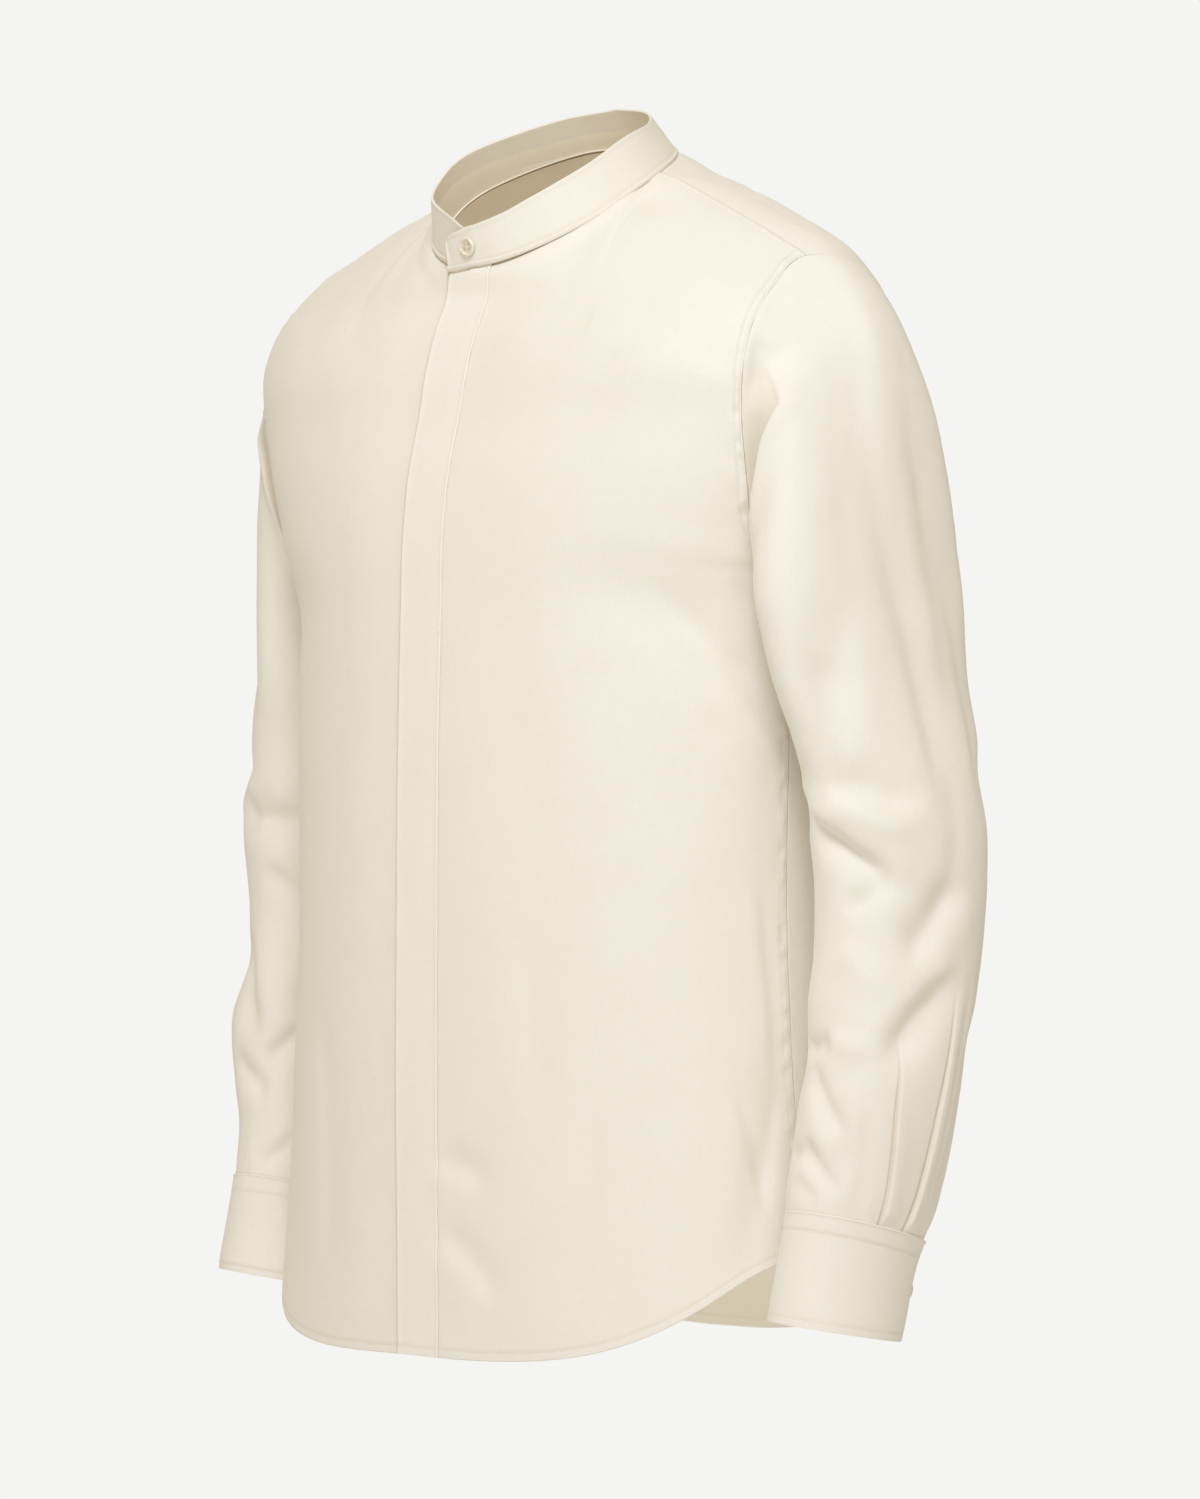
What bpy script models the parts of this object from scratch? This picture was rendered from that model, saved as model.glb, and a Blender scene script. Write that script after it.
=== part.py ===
"""A mandarin collar shirt, worn and standing open with nobody in it.

Metres, +Z up. The wearer faces -Y, and the wearer's left is +X. The origin is on the body's middle line,
level with the shoulder line beside the neck, where a wearer's shoulders hold the shirt up.
Each cut piece is a wall of its own, with 0.3 mm or more between pieces at the seams.
"""

import math

import bmesh
import bpy
import numpy as np
from mathutils import Matrix, Vector

# Cloth
WALL = 0.0015
BAND_WALL = 0.0022
INSET = 0.0002
SLEEVE_SEAM = 0.0006

# Landmarks
ARMPIT_UP = -0.252
SIDE_HEM_UP = -0.6645
PLACKET_HALF = 0.0185
PLACKET_PROUD = 0.0006
PLACKET_WALL = 0.0020
UNDER_PLACKET = 0.0019
UNDER_PLACKET_SLOPE = 0.0120
NECK_HALF_WIDTH = 0.0800
NECK_HALF_DEPTH = 0.0705
NECK_MIDDLE = -0.0080
RIM_HALF_WIDTH = 0.0710
RIM_HALF_DEPTH = 0.0645
RIM_MIDDLE = -0.0193
YOKE_NECK_TURN = 103.0
YOKE_BACK_UP = -0.088
CUFF_STARTS = 0.66
CUFF_ENDS = 1.76
CUFF_BUTTON_ROUND = 0.713
CUFF_PROUD = 0.0010
CUFF_LAP = 0.0013
COLLAR_BUTTON_TURN = 2.5
COLLAR_PROUD = 0.0009
COLLAR_LAP = 0.0013
COLLAR_CORNER = 0.012
COLLAR_CORNER_DROP = 0.45
CUFF_CORNER = 0.014
CUFF_CORNER_DROP = 0.24
CAP_FULLNESS = 1.10
CAP_TURN_IN = 0.35
CAP_TURN_OUT = 0.12
CHEST_FAN = 0.9
FOLD_TURN = 0.0030
FOLD_ROUND = 0.30
PLEAT_RISE = 0.0035
PLEAT_BROAD = 0.020
PLEAT_STEEP = 0.006
STRIP_GAP = 0.0004
STRIP_WALL = 0.0012
STRIP_ROWS = 9
STRIP_FROM = 0.68
STRIP_TO = 0.775
PLEATS_FROM = 0.37
PLEATS_TO = 0.62
BUTTON_RADIUS = 0.0058
BUTTON_THICK = 0.0024
BUTTON_GAP = 0.0003

# How finely the pieces are divided
CAP_ROWS, SLEEVE_ROWS = 8, 26
YOKE_ROWS, NECK_BACK_COLUMNS, BACK_COLUMNS = 5, 10, 22
CUFF_COLUMNS, CUFF_ROWS, COLLAR_ROWS = 26, 2, 3
BUTTON_SIDES = 20


def table(names, *rows):
    """Rows of numbers, kept as one array for each named column."""
    return dict(zip(names.split(), np.array(rows, float).T))


def smooth(xs, ys, x):
    """A smooth curve through the points (xs, ys), read at x, and level beyond its ends."""
    xs, ys, x = np.asarray(xs, float), np.asarray(ys, float), np.asarray(x, float)
    step = np.diff(xs)
    rise = np.diff(ys) / step
    slope = np.empty(len(xs))
    slope[1:-1] = (rise[:-1] * step[1:] + rise[1:] * step[:-1]) / (step[:-1] + step[1:])
    slope[0], slope[-1] = rise[0], rise[-1]
    i = np.clip(np.searchsorted(xs, x) - 1, 0, len(step) - 1)
    t = np.clip((x - xs[i]) / step[i], 0, 1)
    start = ys[i] + t * t * (3 - 2 * t) * (ys[i + 1] - ys[i])
    return start + step[i] * (t * (1 - t) ** 2 * slope[i] - t * t * (1 - t) * slope[i + 1])


def ease(x, low, high):
    """0 below low, 1 above high, and smooth between."""
    t = np.clip((x - low) / (high - low), 0, 1)
    return t * t * (3 - 2 * t)


# The worn body: level slices, from under the hem to above the neck. front and back are depths from the
# slice's middle line, and power is its squareness, 2 for an ellipse.
BODY = table(
    "height half_width front back middle power",
    (-0.780, 0.2195, 0.1215, 0.1265, 0.0000, 2.30),
    (-0.705, 0.2168, 0.1222, 0.1245, 0.0000, 2.30),
    (-0.636, 0.2124, 0.1228, 0.1190, 0.0000, 2.22),
    (-0.555, 0.2052, 0.1232, 0.1115, 0.0000, 2.22),
    (-0.490, 0.2005, 0.1230, 0.1072, 0.0000, 2.22),
    (-0.438, 0.1995, 0.1226, 0.1062, 0.0000, 2.22),
    (-0.359, 0.2010, 0.1217, 0.1100, 0.0000, 2.22),
    (-0.300, 0.2018, 0.1202, 0.1165, 0.0000, 2.22),
    (-0.268, 0.2045, 0.1192, 0.1200, 0.0000, 2.22),
    (-0.229, 0.2180, 0.1178, 0.1235, 0.0000, 2.30),
    (-0.185, 0.2335, 0.1130, 0.1250, 0.0010, 2.40),
    (-0.153, 0.2430, 0.1078, 0.1220, 0.0040, 2.55),
    (-0.125, 0.2480, 0.1060, 0.1160, 0.0080, 2.75),
    (-0.103, 0.2465, 0.1030, 0.1090, 0.0120, 2.60),
    (-0.080, 0.2420, 0.0970, 0.1010, 0.0160, 2.15),
    (-0.063, 0.2330, 0.0980, 0.0935, 0.0205, 1.70),
    (-0.052, 0.2165, 0.0935, 0.0900, 0.0235, 1.65),
    (-0.033, 0.1690, 0.0740, 0.0840, 0.0245, 1.90),
    (-0.010, 0.1070, 0.0420, 0.0780, 0.0215, 2.20),
    (-0.003, 0.0880, 0.0370, 0.0770, 0.0190, 2.30),
    (0.006, 0.0715, 0.0340, 0.0735, 0.0150, 2.40),
    (0.019, 0.0580, 0.0320, 0.0530, 0.0120, 2.30),
    (0.060, 0.0300, 0.0200, 0.0300, 0.0100, 2.20),
)

# Heights of the collar's seam and of its top edge, by the turn round the neck from the front.
NECK = table(
    "turn seam rim",
    (0, -0.0630, -0.0380),
    (30, -0.0520, -0.0240),
    (60, -0.0330, -0.0080),
    (90, -0.0092, 0.0150),
    (120, 0.0074, 0.0280),
    (150, 0.0165, 0.0385),
    (180, 0.0190, 0.0430),
)

# The armhole seam of the wearer's left side, from the armpit up its front, over the shoulder and down its
# back. The yoke's seams meet it at two of the rows.
ARMHOLE = table(
    "across forward up",
    (0.2090, 0.0000, -0.2520),
    (0.2100, -0.0240, -0.2440),
    (0.2110, -0.0400, -0.2240),
    (0.2160, -0.0505, -0.1900),
    (0.2190, -0.0575, -0.1500),
    (0.2205, -0.0570, -0.1230),
    (0.2190, -0.0470, -0.0980),
    (0.2170, -0.0300, -0.0785),
    (0.2165, -0.0020, -0.0583),
    (0.2245, 0.0150, -0.0575),
    (0.2270, 0.0360, -0.0640),
    (0.2260, 0.0560, -0.0830),
    (0.2235, 0.0680, -0.1100),
    (0.2200, 0.0735, -0.1450),
    (0.2150, 0.0660, -0.1900),
    (0.2105, 0.0420, -0.2320),
    (0.2092, 0.0200, -0.2470),
    (0.2090, 0.0000, -0.2520),
)
YOKE_FRONT_ROW, ARMHOLE_TOP_ROW, YOKE_BACK_ROW = 8, 9, 12

# The hem's height by the turn round the body from the front, on the left side and on the right.
HEM = table(
    "turn left right",
    (0, -0.7318, -0.7318),
    (12, -0.7313, -0.7323),
    (25, -0.7282, -0.7315),
    (33, -0.7243, -0.7288),
    (40, -0.7190, -0.7250),
    (50, -0.7086, -0.7160),
    (60, -0.6955, -0.7020),
    (70, -0.6810, -0.6860),
    (80, -0.6700, -0.6710),
    (90, -0.6645, -0.6645),
    (100, -0.6690, -0.6690),
    (110, -0.6800, -0.6800),
    (120, -0.6935, -0.6935),
    (132, -0.7070, -0.7070),
    (145, -0.7165, -0.7165),
    (158, -0.7225, -0.7225),
    (168, -0.7262, -0.7262),
    (180, -0.7275, -0.7275),
)

# The sleeves: rings from the upper arm to the cuff's lower edge. slant is how much a ring's back drops for
# each metre of its depth.
SLEEVES = {
    "left": table(
        "height across forward half_width half_depth power slant",
        (-0.706, 0.2535, -0.0139, 0.0345, 0.0427, 2.0, 0.23),
        (-0.644, 0.2545, 0.0028, 0.0365, 0.0453, 2.0, 0.27),
        (-0.634, 0.2555, 0.0055, 0.0390, 0.0471, 2.0, 0.26),
        (-0.607, 0.2590, 0.0104, 0.0415, 0.0496, 2.0, 0.22),
        (-0.575, 0.2625, 0.0142, 0.0430, 0.0509, 2.0, 0.16),
        (-0.547, 0.2650, 0.0192, 0.0435, 0.0505, 2.0, 0.10),
        (-0.511, 0.2630, 0.0266, 0.0450, 0.0554, 2.0, 0.04),
        (-0.469, 0.2620, 0.0337, 0.0455, 0.0564, 2.0, 0.00),
        (-0.436, 0.2625, 0.0347, 0.0460, 0.0579, 2.0, 0.00),
        (-0.407, 0.2620, 0.0331, 0.0460, 0.0605, 2.0, 0.00),
        (-0.380, 0.2580, 0.0330, 0.0440, 0.0620, 2.0, 0.00),
        (-0.350, 0.2525, 0.0312, 0.0410, 0.0683, 2.0, 0.00),
        (-0.315, 0.2450, 0.0272, 0.0380, 0.0760, 2.0, 0.00),
        (-0.275, 0.2410, 0.0220, 0.0355, 0.0800, 2.1, 0.00),
    ),
    "right": table(
        "height across forward half_width half_depth power slant",
        (-0.702, 0.2555, -0.0130, 0.0345, 0.0427, 2.0, 0.25),
        (-0.640, 0.2545, 0.0030, 0.0365, 0.0453, 2.0, 0.25),
        (-0.614, 0.2570, 0.0110, 0.0400, 0.0478, 2.0, 0.22),
        (-0.590, 0.2620, 0.0150, 0.0420, 0.0502, 2.0, 0.18),
        (-0.550, 0.2660, 0.0172, 0.0440, 0.0510, 2.0, 0.10),
        (-0.494, 0.2600, 0.0290, 0.0440, 0.0545, 2.0, 0.03),
        (-0.470, 0.2620, 0.0342, 0.0455, 0.0564, 2.0, 0.00),
        (-0.410, 0.2620, 0.0316, 0.0460, 0.0595, 2.0, 0.00),
        (-0.365, 0.2540, 0.0332, 0.0420, 0.0635, 2.0, 0.00),
        (-0.315, 0.2440, 0.0327, 0.0370, 0.0712, 2.0, 0.00),
        (-0.275, 0.2400, 0.0328, 0.0345, 0.0740, 2.1, 0.00),
    ),
}
UPPER_ARM_UP = -0.275
CUFF_TOP_UP = {"left": -0.644, "right": -0.648}
CUFF_END_UP = {"left": -0.706, "right": -0.707}

# Folds. Each runs straight from one place to another and fades out at both ends; depth is negative for a
# trough. On the body a place is a turn from the front and a height, on a sleeve a round and a height.
BODY_FOLDS = table(
    "around up to_around to_up width depth",
    (31, -0.234, 83, -0.338, 0.022, -0.0024),
    (40, -0.285, 86, -0.375, 0.024, 0.0016),
    (21, -0.250, 24, -0.424, 0.018, -0.0012),
    (28, -0.450, 27, -0.600, 0.020, -0.0012),
    (78, -0.590, 68, -0.690, 0.018, -0.0024),
    (88, -0.520, 73, -0.650, 0.018, -0.0020),
    (-36, -0.250, -80, -0.345, 0.022, -0.0020),
    (-84, -0.480, -66, -0.650, 0.020, -0.0024),
    (-50, -0.560, -44, -0.700, 0.022, -0.0014),
    (118, -0.285, 160, -0.390, 0.024, -0.0026),
    (-112, -0.275, -152, -0.360, 0.022, -0.0024),
    (108, -0.400, 150, -0.450, 0.022, -0.0022),
    (-116, -0.420, -158, -0.490, 0.024, -0.0026),
    (165, -0.140, 170, -0.340, 0.020, 0.0018),
    (-160, -0.130, -170, -0.310, 0.022, 0.0020),
    (126, -0.520, 118, -0.680, 0.022, -0.0022),
    (-134, -0.540, -124, -0.690, 0.020, -0.0020),
    (174, -0.500, 170, -0.700, 0.024, -0.0018),
)
SLEEVE_FOLDS = {
    "left": table(
        "around up to_around to_up width depth",
        (0.345, -0.105, 0.275, -0.150, 0.013, -0.0028),
        (0.380, -0.110, 0.320, -0.190, 0.012, 0.0020),
        (0.470, -0.140, 0.485, -0.300, 0.017, -0.0022),
        (0.520, -0.110, 0.595, -0.280, 0.015, -0.0030),
        (0.375, -0.300, 0.300, -0.355, 0.013, -0.0030),
        (0.310, -0.345, 0.210, -0.388, 0.013, -0.0035),
        (0.520, -0.320, 0.485, -0.465, 0.016, -0.0022),
        (0.310, -0.368, 0.440, -0.390, 0.013, -0.0022),
        (0.240, -0.386, 0.450, -0.398, 0.013, 0.0028),
        (0.235, -0.402, 0.380, -0.428, 0.012, -0.0045),
        (0.300, -0.456, 0.425, -0.434, 0.014, -0.0022),
        (0.510, -0.436, 0.405, -0.484, 0.014, -0.0030),
        (0.510, -0.498, 0.395, -0.542, 0.014, -0.0032),
        (0.260, -0.545, 0.325, -0.582, 0.013, -0.0018),
        (0.235, -0.598, 0.370, -0.605, 0.012, -0.0018),
        (0.640, -0.360, 0.830, -0.410, 0.014, -0.0035),
        (0.860, -0.430, 0.680, -0.460, 0.014, -0.0025),
        (0.650, -0.210, 0.700, -0.350, 0.016, -0.0022),
        (0.640, -0.520, 0.800, -0.570, 0.014, -0.0024),
    ),
    "right": table(
        "around up to_around to_up width depth",
        (0.345, -0.110, 0.280, -0.160, 0.013, -0.0024),
        (0.480, -0.150, 0.500, -0.320, 0.017, -0.0022),
        (0.560, -0.120, 0.610, -0.290, 0.015, -0.0028),
        (0.340, -0.402, 0.200, -0.394, 0.013, -0.0032),
        (0.220, -0.392, 0.110, -0.425, 0.013, -0.0026),
        (0.345, -0.480, 0.235, -0.548, 0.013, -0.0026),
        (0.215, -0.570, 0.100, -0.540, 0.013, -0.0020),
        (0.320, -0.565, 0.190, -0.586, 0.012, -0.0022),
        (0.220, -0.630, 0.110, -0.612, 0.012, -0.0018),
        (0.500, -0.350, 0.480, -0.470, 0.016, -0.0022),
        (0.380, -0.400, 0.520, -0.430, 0.014, -0.0030),
        (0.520, -0.470, 0.400, -0.515, 0.014, -0.0030),
        (0.650, -0.370, 0.840, -0.415, 0.014, -0.0034),
        (0.850, -0.450, 0.670, -0.475, 0.014, -0.0024),
        (0.660, -0.530, 0.790, -0.580, 0.014, -0.0022),
    ),
}
# The pleats at the cuff: the round of each one's edge where it starts and at the cuff, and its start.
PLEATS = table("start cuff up", (0.418, 0.452, -0.520), (0.540, 0.520, -0.500))


def body(column, up):
    return smooth(BODY["height"], BODY[column], up)


def body_value(points):
    """Under 1 inside the body form and over 1 outside it."""
    x, y, z = points[..., 0], points[..., 1], points[..., 2]
    y = y - body("middle", z)
    depth = np.where(y < 0, body("front", z), body("back", z))
    power = body("power", z)
    return (np.abs(x) / body("half_width", z)) ** power + (np.abs(y) / depth) ** power


def onto_body(points):
    """Move points onto the body form, along rays from its inside."""
    raised = ease(points[..., 2], -0.34, -0.18)
    middle_up = points[..., 2] * (1 - raised) + ARMPIT_UP * raised
    middle = np.stack([0.85 * raised * points[..., 0], body("middle", middle_up), middle_up], -1)
    ray = points - middle
    low, high = np.full(ray.shape[:-1], 0.3), np.full(ray.shape[:-1], 2.0)
    for _ in range(40):
        half = (low + high) / 2
        outside = body_value(middle + half[..., None] * ray) > 1
        low, high = np.where(outside, low, half), np.where(outside, half, high)
    return middle + low[..., None] * ray


def lift_of(folds, scale, around, up):
    """How far folds lift a sheet, at places whose first number is scale metres to the unit."""
    places = np.stack([around * scale, up], -1)
    lift = np.zeros(places.shape[:-1])
    for k in range(len(folds["up"])):
        start = np.array([folds["around"][k] * scale, folds["up"][k]])
        along = np.array([folds["to_around"][k] * scale, folds["to_up"][k]]) - start
        share = ((places - start) @ along) / (along @ along)
        off = np.linalg.norm(places - start - share[..., None] * along, axis=-1)
        fade = ease(share, -0.1, 0.3) * (1 - ease(share, 0.7, 1.1))
        lift += folds["depth"][k] * fade * np.exp(-((off / folds["width"][k]) ** 2))
    return lift


def folded(sheet):
    """A body sheet with its folds."""
    x, y, z = sheet[..., 0], sheet[..., 1], sheet[..., 2]
    turn = np.degrees(np.arctan2(x / body("half_width", z), (body("middle", z) - y) / 0.12))
    return sheet + lift_of(BODY_FOLDS, FOLD_TURN, turn, z)[..., None] * body_normals(sheet)


def body_normals(points):
    """The body form's outward directions at points on it."""
    step = 1e-4
    slope = [
        body_value(points + step * axis) - body_value(points - step * axis) for axis in np.eye(3)
    ]
    return unit(np.stack(slope, -1))


def unit(vectors):
    return vectors / np.linalg.norm(vectors, axis=-1, keepdims=True)


def mix(a, b, t):
    """Points spread from a to b."""
    t = np.asarray(t, float)[..., None]
    return np.asarray(a) * (1 - t) + np.asarray(b) * t


def joined(*edges):
    """One edge from several that each start where the last one ends."""
    return np.concatenate([edges[0]] + [edge[1:] for edge in edges[1:]])


def joined_round(rows):
    """Rows of points with each one's first point again at its end."""
    return np.concatenate([rows, rows[:, :1]], axis=1)


def mirrored(points):
    return points * [-1, 1, 1]


def neck_point(turn, lift=0.0):
    """A point of the collar's seam, or of its band, with lift 1 on the top edge."""
    turn = np.asarray(turn, float)
    fold = 180 - np.abs(180 - turn % 360)
    angle = np.radians(turn)
    lift = np.asarray(lift, float)
    wide = NECK_HALF_WIDTH + (RIM_HALF_WIDTH - NECK_HALF_WIDTH) * lift
    deep = NECK_HALF_DEPTH + (RIM_HALF_DEPTH - NECK_HALF_DEPTH) * lift
    middle = NECK_MIDDLE + (RIM_MIDDLE - NECK_MIDDLE) * lift
    up = smooth(NECK["turn"], NECK["seam"], fold) * (1 - lift) + lift * smooth(
        NECK["turn"], NECK["rim"], fold
    )
    return np.stack(
        np.broadcast_arrays(wide * np.sin(angle), middle - deep * np.cos(angle), up), -1
    )


def hem_up(turn, side="left"):
    """The hem's height, by the turn round the body from the front."""
    return smooth(HEM["turn"], HEM[side], np.abs(turn))


def slice_point(turn, up):
    """A point of the body form at a height, by the turn from the front to the wearer's left."""
    angle = np.radians(turn)
    power = 2 / body("power", up)
    deep = np.where(np.cos(angle) > 0, body("front", up), body("back", up))
    x = body("half_width", up) * np.sign(np.sin(angle)) * np.abs(np.sin(angle)) ** power
    y = body("middle", up) - deep * np.sign(np.cos(angle)) * np.abs(np.cos(angle)) ** power
    return np.stack([x, y, up * np.ones_like(x)], -1)


def front_point(across, up):
    """A point on the front of the body form."""
    power = body("power", up)
    y = body("middle", up) - body("front", up) * (
        1 - (np.abs(across) / body("half_width", up)) ** power
    ) ** (1 / power)
    return np.stack(np.broadcast_arrays(across, y, up), -1)


def turn_at(across, up):
    """The turn at which a slice reaches a distance from the middle line."""
    share = np.abs(across / body("half_width", up)) ** (body("power", up) / 2)
    return np.sign(across) * np.degrees(np.arcsin(np.clip(share, 0, 1)))


def armhole_rounds():
    """Where each row of the armhole's table lies: 0 and 1 at the armpit and 0.5 on the shoulder."""
    points = np.stack([ARMHOLE["across"], ARMHOLE["forward"], ARMHOLE["up"]], -1)
    steps = np.concatenate([[0], np.cumsum(np.linalg.norm(np.diff(points, axis=0), axis=1))])
    top = steps[ARMHOLE_TOP_ROW]
    return np.where(steps < top, 0.5 * steps / top, 0.5 + 0.5 * (steps - top) / (steps[-1] - top))


def armhole_point(round_):
    """A point of the left armhole, the front first."""
    at, round_ = armhole_rounds(), np.asarray(round_, float)
    return np.stack([smooth(at, ARMHOLE[name], round_) for name in ("across", "forward", "up")], -1)


def patch(bottom, right, top, left):
    """A sheet of points on the body form that fills four edges, as rows from bottom to top."""

    def fill(bottom, right, top, left):
        u = np.linspace(0, 1, len(bottom))[None, :, None]
        v = np.linspace(0, 1, len(left))[:, None, None]
        sheet = (1 - v) * bottom[None] + v * top[None] + (1 - u) * left[:, None] + u * right[:, None]
        corners = (1 - v) * ((1 - u) * bottom[0] + u * bottom[-1])
        corners = corners + v * ((1 - u) * top[0] + u * top[-1])
        return sheet - corners

    edges = (bottom, right, top, left)
    return onto_body(fill(*edges)) + fill(*(edge - onto_body(edge) for edge in edges))


def panel(bottom, chest, top, left, right):
    """A body panel in two patches that meet at the chest line, level with the armpit."""
    low, high = left[: SIDE_ROWS + 1], left[SIDE_ROWS:]
    lower = patch(bottom, right[: SIDE_ROWS + 1], chest, low)
    upper = patch(chest, right[SIDE_ROWS:], top, high)
    return np.concatenate([lower, upper[1:]])


def share_along(edge):
    """How far along an edge each of its points is, half by length and half by distance across."""
    length = np.concatenate([[0], np.cumsum(np.linalg.norm(np.diff(edge, axis=0), axis=1))])
    across = edge[:, 0] - edge[0, 0]
    return (length / length[-1] + across / across[-1]) / 2


def facing_of(around, upward, away):
    """Which way a band faces, from two directions along it and one roughly away from it."""
    across = unit(np.cross(around, upward))
    return across * np.sign(across @ away)


def rounded_end(from_end, corner, drop):
    """How much of a band's height is left near its end, where the corner is rounded off."""
    short = np.clip(1 - from_end / corner, 0, 1)
    return 1 - drop * (1 - np.sqrt(1 - short**2))


def pulled_in(sheet, inset=INSET):
    """The same sheet with its edges moved in from the seams."""
    out = sheet.copy()
    for a, b in ((0, 1), (-1, -2)):
        out[a] += inset * unit(sheet[b] - sheet[a])
    for a, b in ((0, 1), (-1, -2)):
        out[:, a] += inset * unit(sheet[:, b] - sheet[:, a])
    return out


def armhole_in(points):
    """The way in at the armhole's seam, which the walls on both sides of it share."""
    middle = np.array([0.200, 0.005, -0.160])
    away = middle - points * [np.sign(points[..., 0].mean()), 1, 1]
    return unit(away) * [np.sign(points[..., 0].mean()), 1, 1]


def wall(name, sheet, inward, thickness=WALL, ring=False):
    """A closed wall from a sheet of outer points, as thick as thickness along inward."""
    if ring:
        sheet, inward = (joined_round(a) for a in (sheet, inward))
    rows, columns = sheet.shape[:2]
    mesh = bmesh.new()
    bmesh.ops.create_grid(mesh, x_segments=columns - 1, y_segments=rows - 1, size=1)
    way_in = mesh.verts.layers.float_vector.new("way_in")
    for vert, point, way in zip(mesh.verts, sheet.reshape(-1, 3), inward.reshape(-1, 3)):
        vert.co = point
        vert[way_in] = thickness * way
    if ring:
        bmesh.ops.remove_doubles(mesh, verts=mesh.verts, dist=1e-6)
    bmesh.ops.triangulate(mesh, faces=mesh.faces, quad_method="SHORT_EDGE")
    outside = mesh.verts[:] + mesh.edges[:] + mesh.faces[:]
    inside = bmesh.ops.extrude_face_region(mesh, geom=outside, use_keep_orig=True)["geom"]
    for vert in inside:
        if isinstance(vert, bmesh.types.BMVert):
            vert.co += vert[way_in]
    mesh.verts.layers.float_vector.remove(way_in)
    bmesh.ops.recalc_face_normals(mesh, faces=mesh.faces)
    return finished(name, mesh, CLOTH)


def finished(name, shape, material):
    """An object from a closed bmesh."""
    mesh = bpy.data.meshes.new(name)
    shape.to_mesh(mesh)
    shape.free()
    mesh.shade_smooth()
    mesh.set_sharp_from_angle(angle=math.radians(40))
    mesh.materials.append(material)
    piece = bpy.data.objects.new(name, mesh)
    bpy.context.scene.collection.objects.link(piece)
    return piece


def material(name, colour, roughness):
    finish = bpy.data.materials.new(name)
    finish.use_nodes = True
    surface = finish.node_tree.nodes["Principled BSDF"]
    surface.inputs["Base Color"].default_value = (*colour, 1)
    surface.inputs["Roughness"].default_value = roughness
    return finish


for old in list(bpy.data.objects):
    bpy.data.objects.remove(old)
CLOTH = material("cream_cloth", (0.86, 0.82, 0.72), 0.8)
SHELL = material("cream_button", (0.84, 0.79, 0.68), 0.35)


# Front panels. Their columns fan from the hem to the neckline and the yoke's front seam, and their rows
# step from the hem to the armpit and from there to the yoke.
NECK_COLUMNS, SHOULDER_COLUMNS = 6, 6
SIDE_ROWS, ARMHOLE_ROWS = 17, 9
FRONT_CORNER = armhole_rounds()[YOKE_FRONT_ROW]
BACK_CORNER = armhole_rounds()[YOKE_BACK_ROW]


# The armhole's own points, shared by the body panels and the sleeve, and the sleeve's columns: those and
# one more between each two of them where the pleats are.
ARMHOLE_ROUNDS = joined(
    np.linspace(0, FRONT_CORNER, ARMHOLE_ROWS + 1),
    np.linspace(FRONT_CORNER, BACK_CORNER, YOKE_ROWS + 1),
    np.linspace(BACK_CORNER, 1, ARMHOLE_ROWS + 1),
)
BETWEEN = (ARMHOLE_ROUNDS[1:] + ARMHOLE_ROUNDS[:-1]) / 2
BETWEEN = BETWEEN[(BETWEEN > PLEATS_FROM) & (BETWEEN < PLEATS_TO)]
SLEEVE_ROUNDS = np.sort(np.concatenate([ARMHOLE_ROUNDS[:-1], BETWEEN]))
STRIP_COLUMNS = np.flatnonzero((SLEEVE_ROUNDS > STRIP_FROM) & (SLEEVE_ROUNDS < STRIP_TO))


def shoulder_seam():
    """The yoke's left front seam, from the neck to the armhole."""
    neck, corner = neck_point(YOKE_NECK_TURN), armhole_point(FRONT_CORNER)
    seam = onto_body(mix(neck, corner, np.linspace(0, 1, SHOULDER_COLUMNS + 1)))
    seam[0], seam[-1] = neck, corner
    return seam


def front_column(across, rows_up, side):
    """One column of a front panel at a distance from the middle line, from the hem to the neckline."""
    bottom = hem_up(turn_at(across, HEM["left"][0]), side)
    top = neck_point(np.degrees(np.arcsin(across / NECK_HALF_WIDTH)))
    up = bottom + (top[2] - bottom) * rows_up
    column = front_point(across, up)
    column[-1] = top
    return column


FRONT_ROWS_UP = np.concatenate(
    [np.linspace(0, 0.716, SIDE_ROWS + 1), np.linspace(0.716, 1, ARMHOLE_ROWS + 1)[1:]]
)


def front_sheet(edge_across, side):
    """A front, from edge_across beside the middle line to the side seam and armhole, as on the left."""
    neck_start = np.degrees(np.arcsin(edge_across / NECK_HALF_WIDTH))
    neck = neck_point(np.linspace(neck_start, YOKE_NECK_TURN, NECK_COLUMNS + 1))
    top = joined(neck, shoulder_seam())
    left = front_column(edge_across, FRONT_ROWS_UP, side)
    right = side_edge(FRONT_CORNER)
    chest_up = left[SIDE_ROWS, 2] + (ARMPIT_UP - left[SIDE_ROWS, 2]) * np.linspace(0, 1, len(top))
    start = turn_at(edge_across, chest_up[0])
    share = share_along(top)
    chest = slice_point(start + (90 - start) * share**CHEST_FAN, chest_up)
    start = turn_at(edge_across, HEM["left"][0])
    turns = start + (90 - start) * share**CHEST_FAN
    bottom = slice_point(turns, hem_up(turns, side))
    left[0], left[-1], left[SIDE_ROWS] = bottom[0], top[0], chest[0]
    chest[-1] = right[SIDE_ROWS]
    return panel(bottom, chest, top, left, right)


def side_edge(corner):
    """The left side seam and then the armhole, up to a corner of the yoke."""
    seam = slice_point(90.0, np.linspace(SIDE_HEM_UP, ARMPIT_UP, SIDE_ROWS + 1))
    start = 0 if corner < 0.5 else 1
    armhole = armhole_point(np.linspace(start, corner, ARMHOLE_ROWS + 1))
    seam[-1] = armhole[0]
    return joined(seam, armhole)


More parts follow.
